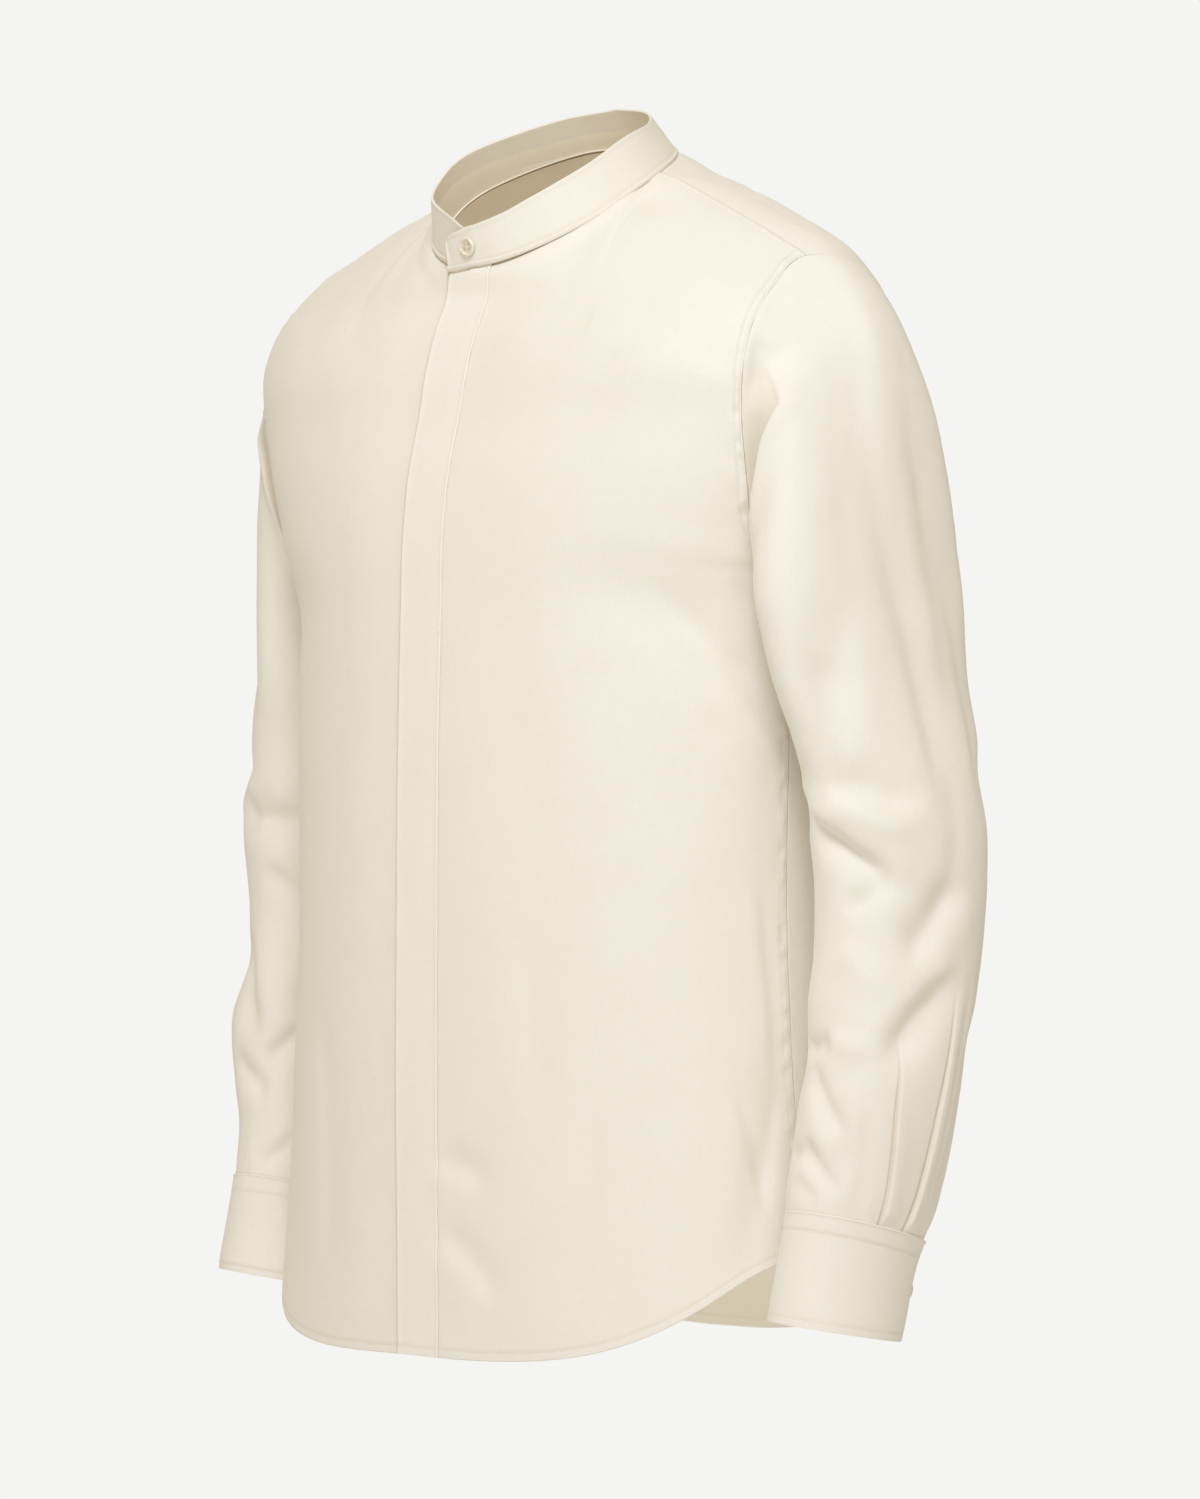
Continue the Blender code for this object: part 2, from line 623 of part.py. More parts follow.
def body_inward(sheet, armhole_columns=(-1,), first_row=SIDE_ROWS):
    """The way in from a body panel, turned to the armhole's own along its armhole edges."""
    inward = -body_normals(sheet)
    for column in armhole_columns:
        inward[first_row:, column] = armhole_in(sheet[first_row:, column])
    return inward


def build_fronts():
    left = folded(pulled_in(front_sheet(PLACKET_HALF + INSET, "left")))
    wall("front_left", left, body_inward(left))
    # The right front runs on under the placket, a little deeper there.
    edge = PLACKET_HALF + UNDER_PLACKET_SLOPE
    under = [-(PLACKET_HALF - 0.0005), 0.0, PLACKET_HALF + 0.001]
    columns = [front_column(across, FRONT_ROWS_UP, "right")[:, None] for across in under]
    right = np.concatenate(columns + [front_sheet(edge, "right")], axis=1)
    depth = np.zeros(right.shape[1])
    depth[: len(under)] = UNDER_PLACKET
    inward = body_inward(right)
    right = folded(mirrored(pulled_in(right + inward * depth[None, :, None])))
    wall("front_right", right, mirrored(inward))


def build_placket():
    across = np.linspace(-PLACKET_HALF, PLACKET_HALF, 4)
    sheet = np.stack([front_column(x, FRONT_ROWS_UP, "left") for x in across], axis=1)
    inward = -body_normals(sheet)
    sheet = folded(pulled_in(sheet - inward * PLACKET_PROUD))
    sheet[-1] += 0.0010 * unit(sheet[-2] - sheet[-1])
    wall("placket", sheet, inward, PLACKET_WALL)


def back_seam():
    """The yoke's back seam, from the left armhole to the right."""
    corner = armhole_point(BACK_CORNER)
    across = corner[0] * np.linspace(1, -1, BACK_COLUMNS + 1)
    up = YOKE_BACK_UP + (corner[2] - YOKE_BACK_UP) * (across / corner[0]) ** 2
    depth = (1 - (np.abs(across) / body("half_width", up)) ** body("power", up)) ** (1 / body("power", up))
    seam = np.stack([across, body("middle", up) + body("back", up) * depth, up], -1)
    seam[0], seam[-1] = corner, mirrored(corner)
    return seam


def build_back():
    turns = np.linspace(90, 270, BACK_COLUMNS + 1)
    bottom = slice_point(turns, hem_up(180 - np.abs(180 - turns)))
    chest = slice_point(turns, np.full(len(turns), ARMPIT_UP))
    left = side_edge(BACK_CORNER)
    chest[0], chest[-1] = left[SIDE_ROWS], mirrored(left[SIDE_ROWS])
    sheet = folded(pulled_in(panel(bottom, chest, back_seam(), left, mirrored(left))))
    wall("back", sheet, body_inward(sheet, (0, -1)))


def build_yoke():
    neck = neck_point(np.linspace(YOKE_NECK_TURN, 360 - YOKE_NECK_TURN, NECK_BACK_COLUMNS + 1))
    shoulder = shoulder_seam()
    front = joined(shoulder[::-1], neck, mirrored(shoulder))
    left = armhole_point(np.linspace(BACK_CORNER, FRONT_CORNER, YOKE_ROWS + 1))
    sheet = folded(pulled_in(patch(back_seam(), mirrored(left), front, left)))
    wall("yoke", sheet, body_inward(sheet, (0, -1), 0))


def ring_point(side, round_, up):
    """A point of a sleeve's rings, as on the left: 0 is next to the body, 0.25 is its front."""
    rings = SLEEVES[side]
    read = {name: smooth(rings["height"], column, up) for name, column in rings.items()}
    angle = 2 * math.pi * np.asarray(round_, float)
    power = 2 / read["power"]
    x = -np.sign(np.cos(angle)) * np.abs(np.cos(angle)) ** power * read["half_width"]
    y = -np.sign(np.sin(angle)) * np.abs(np.sin(angle)) ** power * read["half_depth"]
    points = (read["across"] + x, read["forward"] + y, up - read["slant"] * y)
    return np.stack(np.broadcast_arrays(*points), -1)


def sleeve_sheet(side, rounds, cap_rows, rows_up):
    """A sleeve from its armhole to its cuff, as rings from top to bottom."""
    seam = armhole_point(ARMHOLE_ROUNDS)
    start = np.stack([np.interp(rounds, ARMHOLE_ROUNDS, seam[:, k]) for k in range(3)], -1)
    start += [SLEEVE_SEAM, 0, 0]
    end = ring_point(side, rounds, UPPER_ARM_UP)
    reach = np.linalg.norm(end - start, axis=1)[:, None]
    droop = np.radians(88 - 48 * np.sin(math.pi * rounds) ** 3)[:, None]
    swing = np.sin(2 * math.pi * rounds)[:, None]
    turn_in = CAP_TURN_IN * np.maximum(swing, 0) + CAP_TURN_OUT * np.maximum(-swing, 0)
    leave = reach * CAP_FULLNESS * np.hstack([np.cos(droop), turn_in, -np.sin(droop)])
    below = ring_point(side, rounds, UPPER_ARM_UP - 0.01)
    arrive = reach * unit(below - end)
    rings = []
    for t in np.linspace(0, 1, cap_rows + 1):
        rings.append(
            (1 + 2 * t) * (1 - t) ** 2 * start
            + t * (1 - t) ** 2 * leave
            + t * t * (3 - 2 * t) * end
            - t * t * (1 - t) * arrive
        )
    rings += [ring_point(side, rounds, up) for up in rows_up[1:]]
    sheet = np.stack(rings)
    lift = lift_of(SLEEVE_FOLDS[side], FOLD_ROUND, rounds + 0 * sheet[..., 2], sheet[..., 2])
    lift += pleat_lift(rounds, rows_up[-1], sheet[..., 2])
    lift[0] = 0
    return sheet - lift[..., None] * ring_inward(sheet)


def pleat_lift(rounds, cuff_up, up):
    """How far the pleats lift a sleeve: a steep rise at each one's edge and a slow fall behind it."""
    lift = np.zeros(up.shape)
    for start, cuff, start_up in zip(PLEATS["start"], PLEATS["cuff"], PLEATS["up"]):
        down = np.clip((start_up - up) / (start_up - cuff_up), 0, 1)
        past = (start + (cuff - start) * down - rounds) * FOLD_ROUND
        shape = ease(past, -PLEAT_BROAD, 0) * (1 - ease(past, 0, PLEAT_STEEP))
        lift += PLEAT_RISE * ease(down, 0, 0.9) * shape
    return lift


def ring_inward(sheet):
    """The way in from a sheet of closed rings that run from top to bottom."""
    along = np.gradient(sheet, axis=0)
    around = np.roll(sheet, -1, axis=1) - np.roll(sheet, 1, axis=1)
    inward = unit(np.cross(along, around))
    middle = sheet.mean(axis=1, keepdims=True)
    return inward * np.sign(((middle - sheet) * inward).sum(-1).mean())


def build_sleeve(side):
    rows_up = np.linspace(UPPER_ARM_UP, CUFF_TOP_UP[side], SLEEVE_ROWS + 1)
    sheet = sleeve_sheet(side, SLEEVE_ROUNDS, CAP_ROWS, rows_up)
    inward = ring_inward(sheet)
    inward[0] = armhole_in(sheet[0])
    sheet[-1] += [0, 0, 0.0005]
    if side == "right":
        sheet, inward = mirrored(sheet), mirrored(inward)
    wall("sleeve_" + side, sheet, inward, ring=True)
    # The strip on the slit at the back of the wrist lies on the sleeve's own points.
    rows = slice(-1 - STRIP_ROWS, None)
    strip, strip_inward = sheet[rows, STRIP_COLUMNS], inward[rows, STRIP_COLUMNS]
    strip = pulled_in(strip - strip_inward * (STRIP_GAP + STRIP_WALL))
    wall("sleeve_placket_" + side, strip, strip_inward, STRIP_WALL)


def build_cuff(side):
    """The cuff, whose outer end laps over its inner end at the back of the wrist."""
    start = np.linspace(CUFF_STARTS, CUFF_STARTS + 0.06, 5)
    end = np.linspace(CUFF_ENDS - 0.06, CUFF_ENDS, 5)
    rounds = joined(start, np.linspace(start[-1], end[0], CUFF_COLUMNS + 1), end)
    lap = CUFF_ENDS - 1 - CUFF_STARTS
    proud = CUFF_PROUD - CUFF_LAP * (1 - ease(rounds, CUFF_STARTS + lap, CUFF_STARTS + 2 * lap))
    proud += CUFF_LAP * ease(rounds, CUFF_ENDS - 2 * lap, CUFF_ENDS - lap)
    from_end = np.minimum(rounds - CUFF_STARTS, CUFF_ENDS - rounds) * 0.26
    height = (CUFF_END_UP[side] - CUFF_TOP_UP[side]) * rounded_end(
        from_end, CUFF_CORNER, CUFF_CORNER_DROP
    )
    heights = CUFF_TOP_UP[side] + np.linspace(0, 1, CUFF_ROWS + 1)[:, None] * height
    sheet = ring_point(side, rounds, heights)
    middle = sheet.mean(axis=1, keepdims=True)
    inward = unit((middle - sheet) * [1, 1, 0])
    sheet = sheet - inward * proud[:, None]
    if side == "right":
        sheet, inward = mirrored(sheet), mirrored(inward)
    wall("cuff_" + side, sheet, inward, BAND_WALL)
    at, up = CUFF_BUTTON_ROUND, heights.mean()
    centre = ring_point(side, at, up)
    away = unit((centre - middle.mean(axis=0)[0]) * [1, 1, 0])
    around = ring_point(side, at + 0.01, up) - ring_point(side, at - 0.01, up)
    facing = facing_of(around, ring_point(side, at, up + 0.01) - centre, away)
    centre = centre + away * (CUFF_PROUD + CUFF_LAP) + facing * BUTTON_GAP
    if side == "right":
        centre, facing = mirrored(centre), mirrored(facing)
    build_button("cuff_button_" + side, centre, facing)


def build_collar():
    """The band, whose left end laps over its right end at the front."""
    end = np.degrees(np.arcsin(PLACKET_HALF / NECK_HALF_WIDTH))
    turns = np.concatenate(
        [np.linspace(-end, 10, 8)[:-1], np.linspace(10, 345, 34)[:-1], np.linspace(345, 360 + end, 5)]
    )
    lap = COLLAR_LAP * (1 - ease(turns, end + 3, 45))
    lap -= COLLAR_LAP * ease(turns, 315, 360 - end - 3)
    from_end = np.minimum(turns + end, 360 + end - turns) * math.pi / 180 * NECK_HALF_DEPTH
    height = rounded_end(from_end, COLLAR_CORNER, COLLAR_CORNER_DROP)
    lifts = np.linspace(0, 1, COLLAR_ROWS + 1)[:, None] * height
    sheet = neck_point(turns[None], lifts)
    inward = unit(([0, NECK_MIDDLE, 0] - sheet) * [1, 1, 0])
    sheet = sheet - inward * (COLLAR_PROUD + lap)[None, :, None]
    sheet[0] += [0, 0, 0.0005]
    wall("collar", sheet, inward, BAND_WALL)
    centre = neck_point(COLLAR_BUTTON_TURN, 0.5)
    away = unit((centre - [0, NECK_MIDDLE, 0]) * [1, 1, 0])
    around = neck_point(COLLAR_BUTTON_TURN + 1, 0.5) - neck_point(COLLAR_BUTTON_TURN - 1, 0.5)
    facing = facing_of(around, neck_point(COLLAR_BUTTON_TURN, 0.6) - centre, away)
    centre = centre + away * (COLLAR_PROUD + COLLAR_LAP) + facing * BUTTON_GAP
    build_button("collar_button", centre, facing)


def build_button(name, centre, facing):
    """A button with a raised rim and a flat back, turned about the way that it faces."""
    profile = [(0, 0), (0.88, 0), (1, 0.3), (1, 0.65), (0.92, 1), (0.72, 1), (0.62, 0.7), (0, 0.7)]
    mesh = bmesh.new()
    corners = [mesh.verts.new((radius, 0, height)) for radius, height in profile]
    edges = [mesh.edges.new(pair) for pair in zip(corners, corners[1:])]
    bmesh.ops.spin(
        mesh,
        geom=corners + edges,
        cent=(0, 0, 0),
        axis=(0, 0, 1),
        angle=2 * math.pi,
        steps=BUTTON_SIDES,
    )
    bmesh.ops.remove_doubles(mesh, verts=mesh.verts, dist=1e-4)
    bmesh.ops.recalc_face_normals(mesh, faces=mesh.faces)
    turned = Vector(facing).to_track_quat("Z", "Y").to_matrix().to_4x4()
    size = Matrix.Diagonal((BUTTON_RADIUS, BUTTON_RADIUS, BUTTON_THICK, 1))
    mesh.transform(Matrix.Translation(Vector(centre)) @ turned @ size)
    finished(name, mesh, SHELL)


build_fronts()
build_placket()
build_back()
build_yoke()
build_collar()
for side in SLEEVES:
    build_sleeve(side)
    build_cuff(side)
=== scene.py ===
"""A cream cotton shirt with a mandarin collar and a fly front, worn and standing open with nobody in it.

Metres, +Z up. The wearer faces -Y, and the wearer's left is +X. It is put together in the order of sewing:
fronts, placket, back, yoke, sleeves, cuffs, collar, buttons.
"""

import math

import bmesh
import bpy
import numpy as np
from mathutils import Matrix, Vector, noise


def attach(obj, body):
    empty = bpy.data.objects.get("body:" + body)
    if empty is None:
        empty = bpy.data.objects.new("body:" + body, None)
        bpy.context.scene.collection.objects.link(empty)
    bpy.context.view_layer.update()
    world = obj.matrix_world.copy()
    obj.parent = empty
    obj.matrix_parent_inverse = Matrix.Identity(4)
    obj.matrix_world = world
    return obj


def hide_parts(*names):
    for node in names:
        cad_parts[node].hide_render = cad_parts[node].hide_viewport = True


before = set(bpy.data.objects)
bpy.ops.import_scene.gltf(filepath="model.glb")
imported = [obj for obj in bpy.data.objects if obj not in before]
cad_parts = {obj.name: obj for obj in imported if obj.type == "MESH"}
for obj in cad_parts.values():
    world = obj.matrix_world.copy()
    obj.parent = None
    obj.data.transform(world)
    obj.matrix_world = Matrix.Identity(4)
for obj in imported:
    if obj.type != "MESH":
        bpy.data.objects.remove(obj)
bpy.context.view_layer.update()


# The fronts
# Two panels of cotton poplin, cut with curved tails. They close under a fly, and the right one runs on
# under it. Their hems are turned up twice and stitched, and their side seams are felled.

CLOTH_THICK = 0.0009
CLOTH_STEP = 0.0031
INSET = 0.0002
ARMPIT_UP = -0.252
SIDE_HEM_UP = -0.6645
PLACKET_HALF = 0.0185
UNDER_PLACKET = 0.0019
UNDER_EDGE = 0.0010
FINE_BESIDE_FLY = 0.0120
UNDER_PLACKET_REACH = 0.0700
NECK_HALF_WIDTH = 0.0800
NECK_HALF_DEPTH = 0.0705
NECK_MIDDLE = -0.0080
RIM_HALF_WIDTH = 0.0710
RIM_HALF_DEPTH = 0.0645
RIM_MIDDLE = -0.0193
YOKE_NECK_TURN = 103.0
CHEST_FAN = 0.9
CHEST_SHARE = 0.716
FOLD_TURN = 0.0030
HEM_TURN_UP = 0.0062
HEM_ROW = HEM_TURN_UP - 0.0010
FELL = 0.0065
TUCK = 0.0008
BODY_WAVES, BODY_RIPPLES = 0.00045, 0.00016
STITCH_SINK = 0.00016
PUCKER_SIZE = 0.0045


def table(names, text):
    """Rows of numbers written out, with a comma after each row, as one array for each named column."""
    return dict(zip(names.split(), np.array([row.split() for row in text.split(",")], float).T))


# The worn body, as level slices. front and back are depths from the slice's middle line, and power is its
# squareness, 2 for an ellipse.
BODY = table(
    "height half_width front back middle power",
    """
    -.78 .2195 .1215 .1265 0 2.3, -.705 .2168 .1222 .1245 0 2.3, -.636 .2124 .1228 .119 0 2.22,
    -.555 .2052 .1232 .1115 0 2.22, -.49 .2005 .123 .1072 0 2.22, -.438 .1995 .1226 .1062 0 2.22,
    -.359 .201 .1217 .11 0 2.22, -.3 .2018 .1202 .1165 0 2.22, -.268 .2045 .1192 .12 0 2.22,
    -.229 .218 .1178 .1235 0 2.3, -.185 .2335 .113 .125 .001 2.4, -.153 .243 .1078 .122 .004 2.55,
    -.125 .248 .106 .116 .008 2.75, -.103 .2465 .103 .109 .012 2.6, -.08 .242 .097 .101 .016 2.15,
    -.063 .233 .098 .0935 .0205 1.7, -.052 .2165 .0935 .09 .0235 1.65, -.033 .169 .074 .084 .0245 1.9,
    -.01 .107 .042 .078 .0215 2.2, -.003 .088 .037 .077 .019 2.3, .006 .0715 .034 .0735 .015 2.4,
    .019 .058 .032 .053 .012 2.3, .06 .03 .02 .03 .01 2.2
    """,
)
# Heights of the collar's seam and of its top edge, by the turn round the neck from the front.
NECK = table(
    "turn seam rim",
    """
    0 -.063 -.038, 30 -.052 -.024, 60 -.033 -.008, 90 -.0092 .015, 120 .0074 .028, 150 .0165 .0385,
    180 .019 .043
    """,
)
# How far the buttoned collar leans from that. Its turn runs on round the band from its left end, which hangs
# a little low, to its right one.
LEAN = table(
    "turn seam rim",
    """
    -14 -.0037 -.0085, -10 -.0025 -.0065, -5 -.0002 -.0036, 0 .0022 0, 8 .001 -.001, 16 0 -.0018,
    26 0 -.0018, 40 0 .0005, 60 0 .003, 80 0 .0018, 100 0 .002, 130 0 0, 180 0 -.001, 240 0 -.0012,
    268 0 -.0022, 290 0 -.0004, 315 0 .001, 335 0 .0024, 347 0 .0023, 360 0 0, 374 0 -.0015
    """,
)
# The left armhole's seam, from the armpit up its front, over the shoulder and down its back.
ARMHOLE = table(
    "across forward up",
    """
    .209 0 -.252, .21 -.024 -.244, .211 -.04 -.224, .216 -.0505 -.19, .219 -.0575 -.15,
    .2205 -.057 -.123, .219 -.047 -.098, .217 -.03 -.0785, .2165 -.002 -.0583, .2245 .015 -.0575,
    .227 .036 -.064, .226 .056 -.083, .2235 .068 -.11, .22 .0735 -.145, .215 .066 -.19,
    .2105 .042 -.232, .2092 .02 -.247, .209 0 -.252
    """,
)
YOKE_FRONT_ROW, ARMHOLE_TOP_ROW, YOKE_BACK_ROW = 8, 9, 12
# The hem's height by the turn round the body from the front.
HEM = table(
    "turn left right",
    """
    0 -.7318 -.7318, 12 -.7313 -.7323, 25 -.7282 -.7315, 33 -.7243 -.7288, 40 -.719 -.725,
    50 -.7086 -.716, 60 -.6955 -.702, 70 -.681 -.686, 80 -.67 -.671, 90 -.6645 -.6645, 100 -.669 -.669,
    110 -.68 -.68, 120 -.6935 -.6935, 132 -.707 -.707, 145 -.7165 -.7165, 158 -.7225 -.7225,
    168 -.7262 -.7262, 180 -.7275 -.7275
    """,
)
# Folds run straight from one place to another and fade out at both ends; depth is negative for a trough.
# A place is a turn from the front and a height. The first table holds the broad folds of the worn form,
# the second the finer creases that lie in and beside them.
BODY_FOLDS = table(
    "around up to_around to_up width depth",
    """
    31 -.234 83 -.338 .022 -.0024, 40 -.285 86 -.375 .024 .0016, 21 -.25 24 -.424 .018 -.0012,
    28 -.45 27 -.6 .02 -.0012, 78 -.59 68 -.69 .018 -.0024, 88 -.52 73 -.65 .018 -.002,
    -36 -.25 -80 -.345 .022 -.002, -84 -.48 -66 -.65 .02 -.0024, -50 -.56 -44 -.7 .022 -.0014,
    118 -.285 160 -.39 .024 -.0026, -112 -.275 -152 -.36 .022 -.0024, 108 -.4 150 -.45 .022 -.0022,
    -116 -.42 -158 -.49 .024 -.0026, 165 -.14 170 -.34 .02 .0018, -160 -.13 -170 -.31 .022 .002,
    126 -.52 118 -.68 .022 -.0022, -134 -.54 -124 -.69 .02 -.002, 174 -.5 170 -.7 .024 -.0018
    """,
)
BODY_CREASES = table(
    "around up to_around to_up width depth bow lean",
    """
    58 -.172 84 -.24 .008 -.0014 .04 .3, 50 -.258 85 -.322 .009 -.0016 -.04 .3,
    60 -.326 88 -.394 .01 -.0014 .03 -.2, 66 -.3 87 -.352 .007 -.0009 0 .3,
    80 -.43 84 -.56 .008 -.0012 .02 .3, 69 -.556 80 -.645 .008 -.0015 .03 .3,
    84 -.56 76 -.64 .007 -.0012 0 -.3, 4 -.608 16 -.622 .01 -.0028 .04 .2,
    5 -.65 18 -.696 .01 -.003 .05 .2, 24 -.47 28 -.59 .009 -.001 0 .2,
    38 -.56 33 -.69 .009 -.0011 .03 -.2, -60 -.182 -84 -.242 .008 -.0013 .04 -.3,
    -54 -.284 -87 -.334 .01 -.0015 .03 -.3, -64 -.33 -88 -.38 .008 -.0012 0 .2,
    -74 -.55 -85 -.645 .009 -.0014 -.03 .2, -30 -.52 -25 -.68 .01 -.0011 .03 .2,
    98 -.284 130 -.334 .009 -.0018 .05 .3, -96 -.292 -132 -.352 .009 -.0018 -.05 .3,
    102 -.358 142 -.404 .01 -.0018 .04 .3, -104 -.364 -138 -.422 .009 -.0016 -.05 -.3,
    110 -.44 140 -.472 .008 -.0014 .04 .2, -118 -.462 -152 -.524 .009 -.0015 -.04 .3,
    148 -.16 159 -.31 .009 .0011 .03 .2, -146 -.176 -157 -.34 .009 .0012 -.03 -.2,
    116 -.53 107 -.655 .009 -.0015 .03 .3, -120 -.56 -109 -.665 .008 -.0014 .03 -.3,
    162 -.53 151 -.695 .01 -.0014 .02 .3, -170 -.56 -162 -.7 .01 -.0013 .02 .3
    """,
)


def smooth(xs, ys, x):
    """A smooth curve through the points (xs, ys), read at x, and level beyond its ends."""
    xs, ys, x = np.asarray(xs, float), np.asarray(ys, float), np.asarray(x, float)
    step = np.diff(xs)
    rise = np.diff(ys) / step
    slope = np.empty(len(xs))
    slope[1:-1] = (rise[:-1] * step[1:] + rise[1:] * step[:-1]) / (step[:-1] + step[1:])
    slope[0], slope[-1] = rise[0], rise[-1]
    i = np.clip(np.searchsorted(xs, x) - 1, 0, len(step) - 1)
    t = np.clip((x - xs[i]) / step[i], 0, 1)
    start = ys[i] + t * t * (3 - 2 * t) * (ys[i + 1] - ys[i])
    return start + step[i] * (t * (1 - t) ** 2 * slope[i] - t * t * (1 - t) * slope[i + 1])


def ease(x, low, high):
    """0 below low, 1 above high, and smooth between."""
    t = np.clip((x - low) / (high - low), 0, 1)
    return t * t * (3 - 2 * t)


def band(far, at, width):
    """1 on a line at a distance, and fading out over a width on both sides of it."""
    return np.exp(-(((far - at) / width) ** 2))


def unit(vectors):
    return vectors / np.linalg.norm(vectors, axis=-1, keepdims=True)


def mirrored(points):
    return points * [-1, 1, 1]


def divided(length, step, at_start=(), at_end=()):
    """Places along an edge, from 0 to 1, a step apart and closer where its ends are sewn."""
    start, end = (max(near, default=0) for near in (at_start, at_end))
    middle = np.linspace(start, length - end, round((length - start - end) / step) + 1)
    return np.unique(np.concatenate([np.array(at_start), middle, length - np.array(at_end)])) / length


def body(column, up):
    return smooth(BODY["height"], BODY[column], up)


def body_value(points):
    """Under 1 inside the body form and over 1 outside it."""
    x, y, z = points[..., 0], points[..., 1], points[..., 2]
    y = y - body("middle", z)
    depth = np.where(y < 0, body("front", z), body("back", z))
    power = body("power", z)
    return (np.abs(x) / body("half_width", z)) ** power + (np.abs(y) / depth) ** power


def body_out(points):
    """The body form's outward directions at points on it."""
    step = 1e-4
    slope = [body_value(points + step * axis) - body_value(points - step * axis) for axis in np.eye(3)]
    return unit(np.stack(slope, -1))


def onto_body(points):
    """Points moved onto the body form, along rays from its inside."""
    raised = ease(points[..., 2], -0.34, -0.18)
    middle_up = points[..., 2] * (1 - raised) + ARMPIT_UP * raised
    middle = np.stack([0.85 * raised * points[..., 0], body("middle", middle_up), middle_up], -1)
    ray = points - middle
    low, high = np.full(ray.shape[:-1], 0.3), np.full(ray.shape[:-1], 2.0)
    for _ in range(28):
        half = (low + high) / 2
        outside = body_value(middle + half[..., None] * ray) > 1
        low, high = np.where(outside, low, half), np.where(outside, half, high)
    return middle + low[..., None] * ray


def neck_point(turn, lift=0.0):
    """A point of the collar's seam, or of its band, with lift 1 on the top edge."""
    turn = np.asarray(turn, float)
    fold = 180 - np.abs(180 - turn % 360)
    angle = np.radians(turn)
    lift = np.asarray(lift, float)
    wide = NECK_HALF_WIDTH + (RIM_HALF_WIDTH - NECK_HALF_WIDTH) * lift
    deep = NECK_HALF_DEPTH + (RIM_HALF_DEPTH - NECK_HALF_DEPTH) * lift
    middle = NECK_MIDDLE + (RIM_MIDDLE - NECK_MIDDLE) * lift
    seam, rim = (
        smooth(NECK["turn"], NECK[edge], fold) + smooth(LEAN["turn"], LEAN[edge], turn)
        for edge in ("seam", "rim")
    )
    up = seam * (1 - lift) + rim * lift
    return np.stack(np.broadcast_arrays(wide * np.sin(angle), middle - deep * np.cos(angle), up), -1)


def hem_up(turn, side="left"):
    """The hem's height, by the turn round the body from the front."""
    return smooth(HEM["turn"], HEM[side], np.abs(turn))


def slice_point(turn, up):
    """A point of the body form at a height, by the turn from the front to the wearer's left."""
    angle = np.radians(turn)
    power = 2 / body("power", up)
    deep = np.where(np.cos(angle) > 0, body("front", up), body("back", up))
    x = body("half_width", up) * np.sign(np.sin(angle)) * np.abs(np.sin(angle)) ** power
    y = body("middle", up) - deep * np.sign(np.cos(angle)) * np.abs(np.cos(angle)) ** power
    return np.stack([x, y, up * np.ones_like(x)], -1)


def front_point(across, up):
    """A point on the front of the body form."""
    power = body("power", up)
    y = body("middle", up) - body("front", up) * (
        1 - (np.abs(across) / body("half_width", up)) ** power
    ) ** (1 / power)
    return np.stack(np.broadcast_arrays(across, y, up), -1)


def turn_at(across, up):
    """The turn at which a slice reaches a distance from the middle line."""
    share = np.abs(across / body("half_width", up)) ** (body("power", up) / 2)
    return np.sign(across) * np.degrees(np.arcsin(np.clip(share, 0, 1)))


armhole_steps = np.linalg.norm(np.diff(np.stack(list(ARMHOLE.values()), -1), axis=0), axis=1)
armhole_steps = np.concatenate([[0], np.cumsum(armhole_steps)])
top_step = armhole_steps[ARMHOLE_TOP_ROW]
ARMHOLE_AT = np.where(
    armhole_steps < top_step,
    0.5 * armhole_steps / top_step,
    0.5 + 0.5 * (armhole_steps - top_step) / (armhole_steps[-1] - top_step),
)
FRONT_CORNER, BACK_CORNER = ARMHOLE_AT[YOKE_FRONT_ROW], ARMHOLE_AT[YOKE_BACK_ROW]


def armhole_point(round_):
    """A point of the left armhole: 0 and 1 at the armpit, 0.5 on the shoulder, the front first."""
    return np.stack([smooth(ARMHOLE_AT, column, round_) for column in ARMHOLE.values()], -1)


def moved_ends(edge, at, start=None, end=None, start_by=0.0, end_by=1.0):
    """An edge with its ends brought to given points, over the stretches next to them."""
    edge = edge.copy()
    if start is not None:
        edge += (start - edge[0]) * (1 - ease(at, 0, start_by))[:, None]
    if end is not None:
        edge += (end - edge[-1]) * ease(at, end_by, 1)[:, None]
    return edge


def patch(bottom, right, top, left, u, v, fading=True):
    """A sheet of points on the body form that fills four edges, as rows from bottom to top."""
    u, v = u[None, :, None], v[:, None, None]
    near_top = ease(v, 0.6, 1) if fading else v

    def fill(bottom, right, top, left, v):
        sheet = (1 - v) * bottom[None] + v * top[None] + (1 - u) * left[:, None] + u * right[:, None]
        corners = (1 - v) * ((1 - u) * bottom[0] + u * bottom[-1])
        return sheet - corners - v * ((1 - u) * top[0] + u * top[-1])

    edges = (bottom, right, top, left)
    return onto_body(fill(*edges, v)) + fill(*(edge - onto_body(edge) for edge in edges), near_top)


def panel(bottom, chest, top, left, right, u, low, high):
    """A body panel in two patches that meet at the chest line, level with the armpit."""
    split = len(low) - 1
    lower = patch(bottom, right[: split + 1], chest, left[: split + 1], u, low)
    upper = patch(chest, right[split:], top, left[split:], u, high)
    return np.concatenate([lower, upper[1:]])


def shoulder_seam(share):
    """The yoke's left front seam, from the neck to the armhole."""
    neck, corner = neck_point(YOKE_NECK_TURN), armhole_point(FRONT_CORNER)
    seam = onto_body(neck + (corner - neck) * share[:, None])
    seam += (neck - onto_body(neck[None])) * (1 - ease(share, 0, 1 / 6))[:, None]
    return seam + (corner - onto_body(corner[None])) * ease(share, 5 / 6, 1)[:, None]


